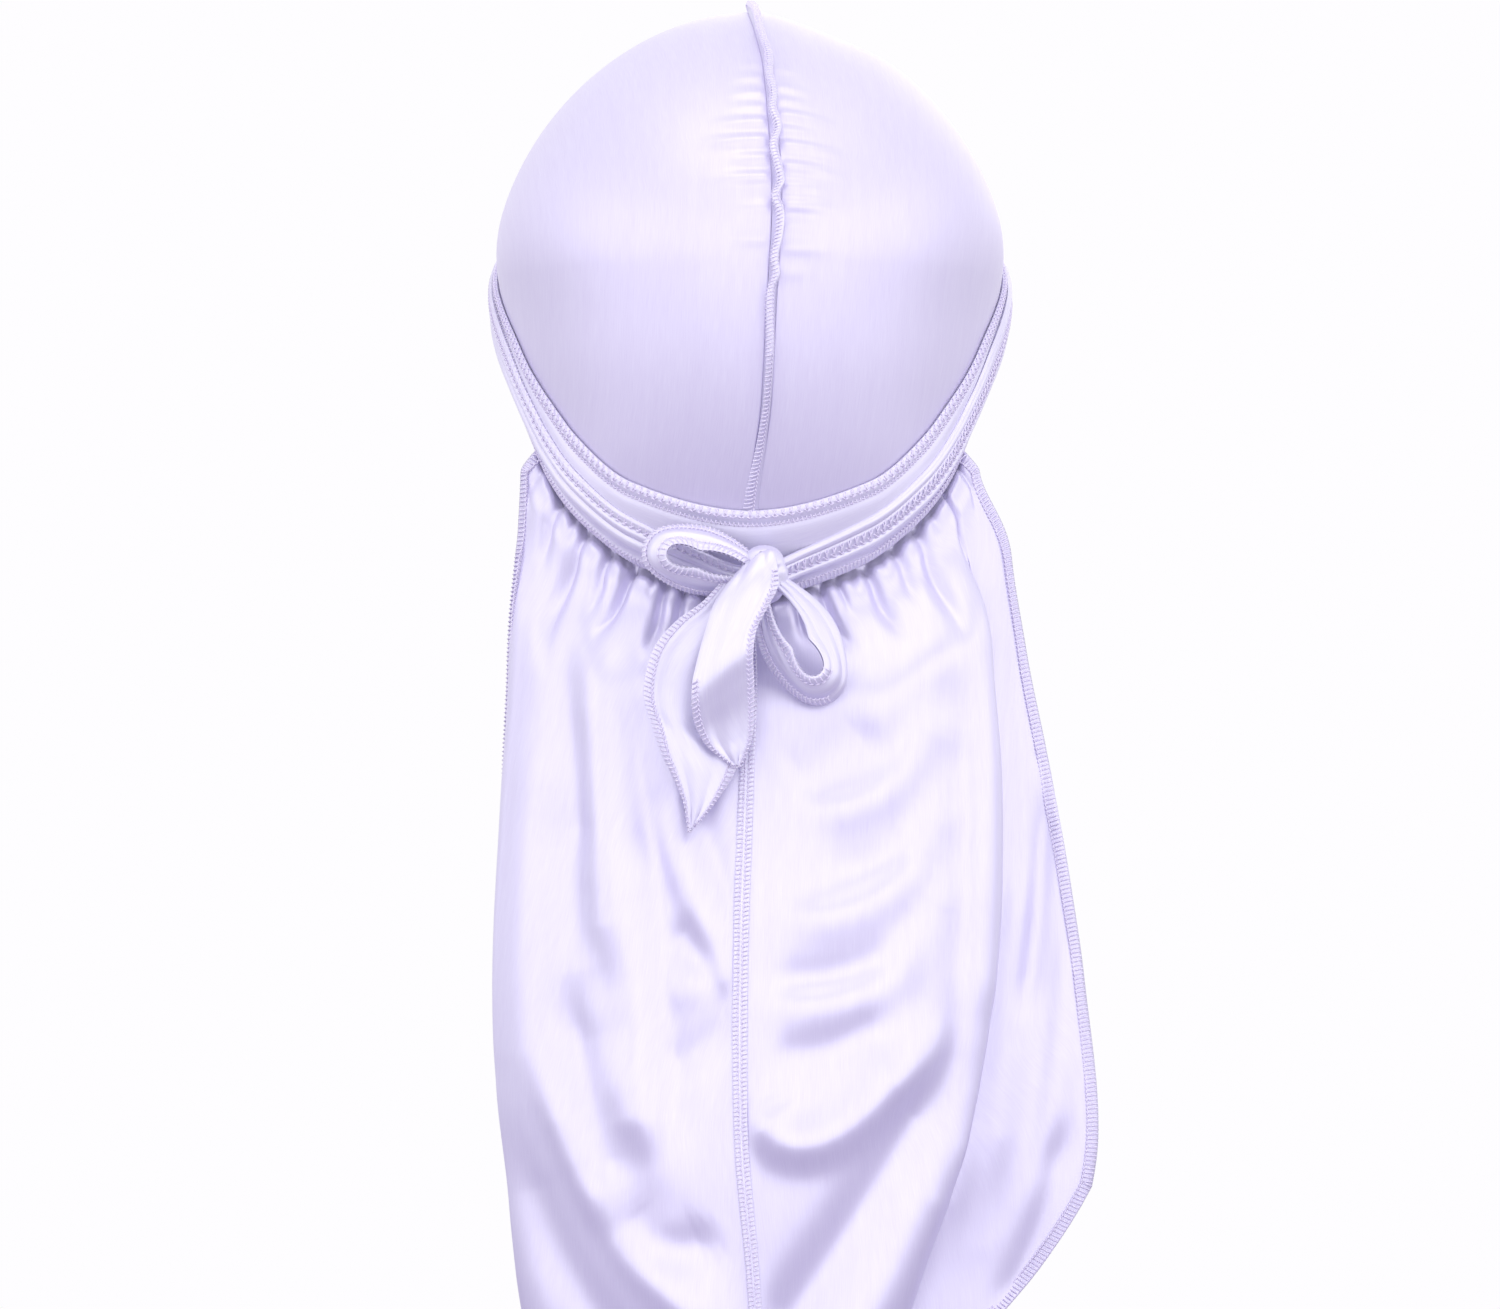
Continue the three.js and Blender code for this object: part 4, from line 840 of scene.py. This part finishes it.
def tail_plan(across, z):
    """Places of the hanging cloth, before its folds, at a place across it and a height."""
    keys = np.array([place[0] for place in TAIL_PLACES])
    keys = np.concatenate([[2 * keys[0] - keys[1]], keys, [2 * keys[-1] - keys[-2]]])
    p = [None, None, z]
    for axis, scale in ((0, TAIL_HALF_WIDTH), (1, HEAD_BACK)):
        levels = [smooth(TAIL_LEVELS, place[1 + axis], (tail_top - z) / TAIL_DROP) for place in TAIL_PLACES]
        levels = [2 * levels[0] - levels[1], *levels, 2 * levels[-1] - levels[-2]]
        p[axis] = scale * smooth(keys, np.stack(levels), across)
    return np.stack(p, axis=-1)


def tail_turn(across):
    """The turn from the nape at which a place across the tail is sewn to the band."""
    return TAIL_TURN * np.interp(across, *SEWN_AT)


def tail_base(across, down):
    """Places of the cloth before its folds: on the band's lower edge at first, and hanging free below."""
    turn = tail_turn(across)
    edge = band_edge(turn)
    hem = tail_top - TAIL_DROP + TAIL_CORNER * np.abs(across) ** HEM_SQUARENESS
    z = edge + down * (hem - edge)
    at_band = head_point(turn, edge, CLOTH / 2 + TAIL_FLARE * step(*FLARES, down))
    at_band[..., 2] = z
    hung = step(*HANGS_FREE, down)[..., None]
    return at_band * (1 - hung) + tail_plan(across, z) * hung


def gather_lift(across, down):
    """How far the gathers raise the cloth under the band: puffs, and sharp creases that part them."""
    hollow = np.zeros(across.shape)
    for at, depth, half, length, drift in CREASES:
        width = half * (1 + CREASE_SPREAD * down)
        line = at + drift * down / length
        fade = 1 - step(CREASE_FADES_FROM * length, length, down)
        hollow += depth * np.exp(-(((across - line) / width) ** 2)) * fade
    puffs = step(*PUFFS_START, down) * (1 - step(*PUFFS_END, down))
    return PUFF_HEIGHT * (puffs - hollow * step(*CREASES_START, down) * CREASE_SHARE)


def fold_lift(x, z):
    """How far the folds raise the cloth at a point seen from behind."""
    u, v = x / TAIL_HALF_WIDTH, (tail_top - z) / TAIL_DROP
    aspect = TAIL_DROP / TAIL_HALF_WIDTH
    seam_x = next(place[1] for place in TAIL_PLACES if place[0] == 0)
    from_seam = u - smooth(TAIL_LEVELS, seam_x, v)
    clear_of_seam = 1 - np.exp(-((from_seam / FOLD_CLEAR_OF_SEAM) ** 2))
    at = np.linspace(0, 1, FOLD_POINTS)
    lift = np.zeros(u.shape)
    for start, via, end, half, height, lean in FOLDS:
        bend = [(1 - at) ** 2 * start[k] + 2 * at * (1 - at) * via[k] + at**2 * end[k] for k in (0, 1)]
        bend[1] = bend[1] * aspect
        closest, where, side = np.full(u.shape, np.inf), np.zeros(u.shape), np.zeros(u.shape)
        for i in range(FOLD_POINTS - 1):
            a, b = bend[0][i + 1] - bend[0][i], bend[1][i + 1] - bend[1][i]
            du, dv = u - bend[0][i], v * aspect - bend[1][i]
            t = np.clip((du * a + dv * b) / (a * a + b * b), 0, 1)
            distance = np.hypot(du - t * a, dv - t * b)
            closer = distance < closest
            closest = np.where(closer, distance, closest)
            where = np.where(closer, (i + t) / (FOLD_POINTS - 1), where)
            side = np.where(closer, (a * dv - b * du) / np.hypot(a, b), side)
        steep = 1 - lean * np.tanh(side / half)
        fade = step(0, FOLD_FADE, where) * (1 - step(1 - FOLD_FADE, 1, where))
        fade = np.minimum(fade + FOLD_END_SHARE, 1)
        own_panel = np.where(from_seam * via[0] > 0, clear_of_seam, 0)
        lift += height * FOLD_HEIGHT * fade * own_panel * np.exp(-((closest / (half * steep)) ** 2))
    return lift


def tail_grid(places, downs):
    """The tail's cloth, from the rows that are tucked under the band down to the hem."""
    across, down = np.meshgrid(places, downs)
    base = tail_base(across, down)
    lift = gather_lift(across, down) + fold_lift(base[..., 0], base[..., 2]) * step(*FOLDS_START, down)
    lifted = base + grid_normals(base) * lift[..., None]
    turn = np.broadcast_to(tail_turn(places), (TUCKED_ROWS, len(places)))
    top = band_middle(turn) - TAIL_TOP_ROOM
    sewn = np.linspace(0, 1, TUCKED_ROWS)[:, None]
    tucked = head_point(turn, top + sewn * (band_edge(turn) - TAIL_TUCK_OUT - top), CLOTH / 2)
    return np.concatenate([tucked, lifted])


tail_rows = TAIL_FIRST_ROW + (1 - TAIL_FIRST_ROW) * np.linspace(0, 1, TAIL_ROWS) ** ROW_EASE
tail_seam_edge = TAIL_SEAM_LAP / TAIL_HALF_WIDTH
thread_from = TUCKED_ROWS + 1
for side in (-1, 1):
    places = np.interp(np.linspace(0, 1, TAIL_COLUMNS[side]), *COLUMNS_AT[side])
    places = np.sort(side * (tail_seam_edge + (1 - tail_seam_edge) * places))
    grid = tail_grid(places, tail_rows)
    panel = cloth_wall(side_name("tail_panel", side), grid, CLOTH_SHOWN, satin)
    stands_for(panel, side_name("tail", side))
    # The hem's thread runs down the outer edge and along the bottom to the seam, so columns count from
    # that edge.
    normals = grid_normals(grid)[:, ::-side]
    cloth = grid[:, ::-side]
    line = np.concatenate([cloth[thread_from:, 0], cloth[-1, 1:]])
    inner = np.concatenate([cloth[thread_from:, 1], cloth[-2, 1:]])
    out = np.concatenate([normals[thread_from:, 0], normals[-1, 1:]])
    inwards = unit(np.cross(out, unit(np.gradient(line, axis=0))))
    inwards *= np.sign(np.einsum("ij,ij->i", inwards, inner - line))[:, None]
    hem_thread = stitch(side_name("tail_hem", side), [(line + out * CLOTH_SHOWN / 2, inwards, out)], 0.00135,
                        TAIL_HEM_WIDTH, slant=0.12)


# Tail seam. The middle edges of the panels are laid one over the other and sewn down, a strip 4.6 mm wide
# with a row of stitches along each side.
TAIL_SEAM_RISE = 0.00056
TAIL_SEAM_CLOTH = 0.0005
TAIL_SEAM_SHOWN = 0.0046
TAIL_SEAM_STITCH_WIDTH = TAIL_SEAM_SHOWN * 0.36
TAIL_SEAM_COLUMNS = 9
# The columns from which and to which each row of stitches reaches.
TAIL_SEAM_STITCHED = ((0, 3), (8, 5))

seam_places = np.linspace(-1, 1, TAIL_SEAM_COLUMNS) * TAIL_SEAM_SHOWN / 2 / TAIL_HALF_WIDTH
seam_grid = tail_grid(seam_places, tail_rows)
seam_grid = seam_grid + grid_normals(seam_grid) * TAIL_SEAM_RISE
seam_strip = cloth_wall("tail_seam_strip", seam_grid, TAIL_SEAM_CLOTH, doubled_satin)
stands_for(seam_strip, "tail_seam")
seam_guides = [hem_guide(seam_grid[thread_from:], TAIL_SEAM_CLOTH, *ends) for ends in TAIL_SEAM_STITCHED]
stitch("tail_seam_stitches", seam_guides, 0.00135, TAIL_SEAM_STITCH_WIDTH, height=0.0004, slant=0.2)


# Nape band. The sewn stretch of the straps, a folded strip of satin from temple to temple round the nape. Its
# top edge is overlocked to the crown, and its lower edge holds the gathered tail.
STRAP_THICKNESS = 0.0014
STRIP_SHOWN = 0.0009
BAND_END = 115
BAND_STEPS = 330
BAND_COLUMNS = 35

# A strip's section. across: from its lower edge, -1, to its upper, 1. rise: how far it stands out, in
# millimetres.
BAND_SECTION = {
    "across": (-1, -0.96, -0.80, -0.75, -0.6, -0.47, -0.35, -0.1, 0.2, 0.55, 0.70, 0.76, 0.82, 0.96, 1),
    "rise": (0.1, 0.9, 1.1, 0.7, 1.2, 0.8, 1.1, 0.9, 0.8, 0.4, -0.3, -0.1, 0.1, -0.2, -1.05),
}
# The band's rows of thread, each from one place across it to another. form: what else its stitches need.
BAND_THREAD = [
    # name, from and to, spacing, width, form
    ("nape_band_rim", (1, 0.84), 0.00125, 0.0021, {"zigzag": 0.5}),
    ("nape_band_needle_row", (0.75, 0.70), 0.0014, 0.0006, {"height": 0.0004}),
    ("nape_band_lower_edge", (-1, -0.79), 0.00135, 0.0027, {"slant": 0.25}),
]


def layer_middle(layer):
    """How far out from the head form the middle of a layer of strap lies. The band is layer 1."""
    return CLOTH + GAP + STRAP_THICKNESS / 2 + (layer - 1) * (STRAP_THICKNESS + GAP)


def places_across(count):
    """Places from one edge, -1, to the other, 1, that stand closest together at the edges."""
    return np.sin(np.linspace(-np.pi / 2, np.pi / 2, count))


def head_strip(turn, z, half, out, across, section):
    """Points of a strip that lies on the head: one row for each station, one column for each place across."""
    rise = 0.001 * smooth(section["across"], section["rise"], across)
    return head_point(turn[:, None], z[:, None] + across * half[:, None], out[:, None] + rise)


band_turn = np.linspace(-BAND_END, BAND_END, BAND_STEPS)
band_line = band_turn, band_middle(band_turn), band_half(band_turn)
band_out = np.full(BAND_STEPS, layer_middle(1))
band_places = places_across(BAND_COLUMNS)
band_grid = head_strip(*band_line, band_out, band_places, BAND_SECTION)
band = cloth_wall("nape_band_strip", band_grid, STRIP_SHOWN, doubled_satin)
for name, ends, spacing, width, form in BAND_THREAD:
    guide = hem_guide(band_grid, STRIP_SHOWN, *(nearest(band_places, at) for at in ends))
    stitch(name, [guide], spacing, width, **form)
stands_for(band, "nape_band")


# Straps. Two long tapered strips of satin, overlocked along one edge. Each goes on from the band at the
# temple, crosses the other on the forehead, and comes back round the head to the knot at the nape.
KNOT_TURN = 3
KNOT_LAYER = 7.5
STRAP_HALF_WIDTH = 0.0065
STRAP_STEPS = 460
STRAP_COLUMNS = 27
STRAP_UNSEWN_ROWS = 12
STRAP_STITCH_WIDTH = 0.0028
STRAP_SETTLE = 0.0002
STRAP_ENDS_SHORT = 0.6

# travel: degrees from the nape on the strap's own side. lift: how far it lies above the band's course, as a
# share of the head's rise. under, over: its layer on the cap, for the strap that passes under at the forehead
# and for the one that passes over. half: half its width, as a share of the strap's.
STRAP_COURSE = {
    "travel": (115.4, 135, 149, 158, 180, 201, 212, 245, 290, 305, 322, 335, 347, 360),
    "lift": (0, 0, 0, 0.004, 0.083, 0.162, 0.164, 0.025, -0.016, -0.025, -0.025, -0.035, -0.045, -0.04),
    "under": (1, 1, 1, 1, 1, 1, 2, 2, 2, 2, 2, 2, 2.4, 6),
    "over": (1, 1, 1, 2, 2, 2, 2, 2, 2, 2, 2, 2, 2.4, 6),
    "half": (1.2, 1, 1, 1, 1, 1, 1, 0.95, 0.9, 0.85, 0.8, 0.72, 0.6, 0.5),
}
# The straps in section, by the side of the nape that they come back on. The one on the right is folded over
# its stitched edge, so that the stitches run down its middle. The one on the left is rolled below its
# stitched edge.
STRAP_SECTIONS = {
    1: {"across": (-1, -0.85, -0.6, -0.38, -0.26, 0.0, 0.36, 0.45, 0.58, 0.8, 0.93, 1),
        "rise": (-0.7, 0.5, 0.9, 0.1, 0.5, 0.5, 0.45, 0.0, 0.5, 0.6, 0.0, -0.9)},
    -1: {"across": (-1, -0.85, -0.55, -0.3, -0.15, 0.05, 0.3, 0.46, 0.56, 0.8, 0.95, 1),
         "rise": (-0.7, 0.5, 1.0, 0.75, 0.1, 0.8, 0.75, -0.1, 0.25, 0.15, 0.0, -0.85)},
}
# Where across it the stitches begin and end, by the same side.
STRAP_STITCH_AT = {1: (0.34, -0.2), -1: (0.99, 0.56)}

strap_places = places_across(STRAP_COLUMNS)
for side, layer in ((-1, "over"), (1, "under")):
    travel = np.linspace(STRAP_COURSE["travel"][0], 360 + side * KNOT_TURN - STRAP_ENDS_SHORT, STRAP_STEPS)
    course = {name: smooth(STRAP_COURSE["travel"], STRAP_COURSE[name], travel)
              for name in ("lift", "half", layer)}
    turn = np.where(travel > 180, travel - 360, travel)
    line = side * turn, band_middle(turn) + course["lift"] * HEAD_RISE, STRAP_HALF_WIDTH * course["half"]
    out = layer_middle(course[layer]) - STRAP_SETTLE
    grid = head_strip(*line, out, strap_places, STRAP_SECTIONS[-side])
    piece = cloth_wall(side_name("strap_strip", side), grid, STRIP_SHOWN, doubled_satin)
    columns = [nearest(strap_places, at) for at in STRAP_STITCH_AT[-side]]
    guide = hem_guide(grid[:-STRAP_UNSEWN_ROWS], STRIP_SHOWN, *columns, face=side)
    rows = stitch(side_name("strap_stitches", side), [guide], 0.0013, STRAP_STITCH_WIDTH, zigzag=0.3)
    stands_for(piece, side_name("strap", side))


# Bow. The straps are tied over the nape: a knot, a loop to the left and one hanging to the right, and two
# free ends cut on a slant. The ribbon is the same overlocked satin, so thread shows along all its edges.
KNOT_DROP = 0.01
KNOT_HALF_WIDTH = 0.007
KNOT_HALF_DEPTH = 0.005
KNOT_HALF_HEIGHT = 0.009
KNOT_RINGS = 60
KNOT_POINTS = 72
KNOT_TWIST = 0.05
KNOT_LOBES = 2
KNOT_WIND = 5
KNOT_SQUARENESS = 3
GROOVE_DEPTH = 0.07
GROOVE_WIDTH = 0.12
GROOVE_SLANT = 0.35
LOOP_LENGTH = 0.034
LOOP_HALF_WIDTH = 0.0055
LOOP_STANDS_OFF = 0.001
LOOP_CENTRE = 0.6
LOOP_STEPS = 150
END_STEPS = 150
RIBBON_SHOWN = 0.0008
RIBBON_COLUMNS = 25
RIBBON_STITCH_WIDTH = 0.0026

# A loop, row by row from the knot and back to it. along, wide: shares of its length. half: half its width, as
# a share of the ribbon's.
LOOP_ROWS = {
    "along": (0.02, 0.22, 0.48, 0.76, 0.94, 1.0, 0.94, 0.76, 0.48, 0.22, 0.02),
    "wide": (0.02, 0.12, 0.185, 0.18, 0.12, 0, -0.12, -0.18, -0.185, -0.12, -0.02),
    "half": (0.6, 0.85, 1, 1, 1, 1, 1, 1, 0.95, 0.8, 0.6),
}
# The loops. angle: as seen from behind, up from the right. share: its length, as a share of LOOP_LENGTH.
# hang: how far it hangs towards the viewer, as a share of its length. lean: the cloth's, in degrees. bulge:
# in millimetres. stitched: for each edge, the share of the length from which its stitches show.
LOOPS = [
    # side, angle, share, hang, lean, bulge, stitched
    (-1, 167, 1.0, 0, 42, 1.1, (0, 0)),
    (1, -62, 1.15, 0.16, 55, 0.7, (0.5, 0.42)),
]
# The free ends, row by row from the knot: both edges as seen from behind and the depth towards the viewer, in
# millimetres from the knot's middle. cup: how far the middle bulges.
END_ROWS = {
    1: {"left_x": (-5.2, -10, -14.8, -17.5, -19.8, -21.6, -21.6, -20.2, -17.5, -13.4, -9.3),
        "left_z": (3.1, -1.7, -8.6, -16.8, -25, -33.2, -41.4, -46.9, -51.7, -55.1, -57.6),
        "right_x": (3, 4, 4, 1, -2.4, -3.4, -3.1, -2.9, -3.4, -5.2, -7.5),
        "right_z": (7.2, 1, -3.8, -9.9, -16.8, -24.3, -31.8, -40.1, -48.3, -53.7, -57.6),
        "depth": (6.2, 9.5, 11.6, 13.0, 14.2, 15.4, 14.2, 12.8, 11.9, 11.4, 11),
        "cup": (1.4, 1.8, 1.8, 1.6, 1.4, 0.9, 0.3, -0.2, -0.3, -0.1, 0)},
    -1: {"left_x": (-12, -18.2, -26.4, -32.6, -35.7, -36.3, -33.9, -31.2, -27.8, -24.3, -22.6),
         "left_z": (-1, -7.9, -14, -20.9, -29.1, -37.3, -45.5, -53.7, -60.6, -68.8, -77.7),
         "right_x": (-4.5, -8.5, -12, -14.5, -15, -13, -8.3, -9.3, -12.7, -16.8, -21.2),
         "right_z": (-5.8, -16.8, -26.4, -35.9, -44.2, -51, -56.5, -60.6, -66.1, -71.5, -75.7),
         "depth": (2.5, 4, 5, 6, 6.8, 7.4, 8, 8.4, 8.8, 9.2, 9.4),
         "cup": (0.3, 0.8, 1.0, 0.2, -0.6, -0.5, 0.4, 0.8, 0.6, 0.3, 0)},
}
# By how many rows the depth of an end's right edge is ahead of its middle's, and for each edge the share of
# the length from which its stitches show.
END_SLANT = {1: 0.35, -1: 0}
END_STITCHED = {1: (0.5, 0.1), -1: (0, 0.55)}
# Each end laid flat: width, length and area.
END_FLAT = {1: (0.0185, 0.07, 0.0011), -1: (0.02, 0.085, 0.0014)}
RIBBON_SECTION = {
    "across": (-1, -0.9, -0.62, -0.5, 0.0, 0.5, 0.62, 0.9, 1),
    "rise": (-0.2, 0.15, 0.1, -0.3, 0.3, -0.3, 0.1, 0.15, -0.2),
}
TOWARDS_VIEWER = np.array([0.0, -1.0, 0.0])

knot_middle = head_point(KNOT_TURN, band_middle(0) - KNOT_DROP * HEAD_RISE, layer_middle(KNOT_LAYER))


def in_view(angle):
    """A direction as seen from behind, from an angle up from the right."""
    return np.array([math.cos(math.radians(angle)), 0, math.sin(math.radians(angle))])


def fine(rows, count):
    """A table's rows, worked out smoothly at many places along them."""
    numbers = np.arange(len(next(iter(rows.values()))))
    at = np.linspace(0, numbers[-1], count)
    return {name: smooth(numbers, column, at) for name, column in rows.items()}


ribbon_places = places_across(RIBBON_COLUMNS)


def ribbon(name, grid, cup, stitched, node):
    """A piece of ribbon about a grid of points, with stitches along both edges of both faces."""
    rise = smooth(RIBBON_SECTION["across"], RIBBON_SECTION["rise"], ribbon_places)
    rise = 0.001 * (rise + cup[:, None] * (1 - ribbon_places**2))
    normals = grid_normals(grid)
    normals *= np.sign(normals[len(normals) // 3, RIBBON_COLUMNS // 2] @ TOWARDS_VIEWER)
    grid = grid + normals * rise[..., None]
    piece = cloth_wall(name, grid, RIBBON_SHOWN, doubled_satin)
    widest = np.linalg.norm(grid[:, -1] - grid[:, 0], axis=-1).max()
    inner = nearest(ribbon_places, 1 - 2 * RIBBON_STITCH_WIDTH / widest)
    rows = []
    for edge, column, start in ((0, RIBBON_COLUMNS - 1 - inner, stitched[0]), (-1, inner, stitched[1])):
        part = grid[int(start * len(grid)):]
        rows += [hem_guide(part, RIBBON_SHOWN, edge, column, face) for face in (-1, 1)]
    sewn = stitch(name + "_stitches", rows, 0.00145, RIBBON_STITCH_WIDTH, slant=0.15)
    stands_for(piece, node)


# The knot is wrapped: it twists a little, and one groove runs round it on a slant.
heights = places_across(KNOT_RINGS + 2)[1:-1, None]
rounds = np.linspace(0, 2 * np.pi, KNOT_POINTS, endpoint=False)[None, :]
groove = np.exp(-(((heights - GROOVE_SLANT * np.cos(rounds)) / GROOVE_WIDTH) ** 2))
wrap = 1 + KNOT_TWIST * np.cos(KNOT_LOBES * rounds + KNOT_WIND * heights) - GROOVE_DEPTH * groove
reach = np.sqrt(1 - np.abs(heights) ** KNOT_SQUARENESS) * wrap
knot_rings = np.stack([KNOT_HALF_WIDTH * reach * np.cos(rounds), KNOT_HALF_DEPTH * reach * np.sin(rounds),
                       KNOT_HALF_HEIGHT * heights + 0 * rounds], axis=-1)
bow_knot = closed_tube("bow_knot", knot_middle + knot_rings, doubled_satin)
stands_for(bow_knot, "knot")

loop_rows = fine(LOOP_ROWS, LOOP_STEPS)
for side, angle, share, hang, lean, bulge, stitched in LOOPS:
    length = LOOP_LENGTH * share
    outwards = in_view(angle) + TOWARDS_VIEWER * hang
    start = knot_middle + TOWARDS_VIEWER * LOOP_STANDS_OFF
    centre = start + outwards * length * LOOP_CENTRE
    middle = start + length * (loop_rows["along"][:, None] * outwards
                               + loop_rows["wide"][:, None] * in_view(angle + 90))
    inwards = unit((centre - middle) * np.array([1, 0, 1]))
    across = TOWARDS_VIEWER * math.cos(math.radians(lean)) + inwards * math.sin(math.radians(lean))
    half = LOOP_HALF_WIDTH * loop_rows["half"]
    grid = middle[:, None] + across[:, None] * (half[:, None] * ribbon_places)[..., None]
    ribbon(side_name("bow_loop_ribbon", side), grid, bulge + 0 * half, stitched, side_name("bow_loop", side))

for side in (-1, 1):
    rows = fine(END_ROWS[side], END_STEPS)
    numbers = np.arange(len(END_ROWS[side]["depth"]))
    at = np.linspace(0, numbers[-1], END_STEPS)[:, None] + END_SLANT[side] * ribbon_places
    share = (ribbon_places + 1) / 2
    grid = np.stack([rows["left_x"][:, None] * (1 - share) + rows["right_x"][:, None] * share,
                     -smooth(numbers, END_ROWS[side]["depth"], at),
                     rows["left_z"][:, None] * (1 - share) + rows["right_z"][:, None] * share], axis=-1)
    width, length, area = END_FLAT[side]
    ribbon(side_name("strap_end_ribbon", side), knot_middle + 0.001 * grid, rows["cup"], END_STITCHED[side],
           side_name("strap_end", side))
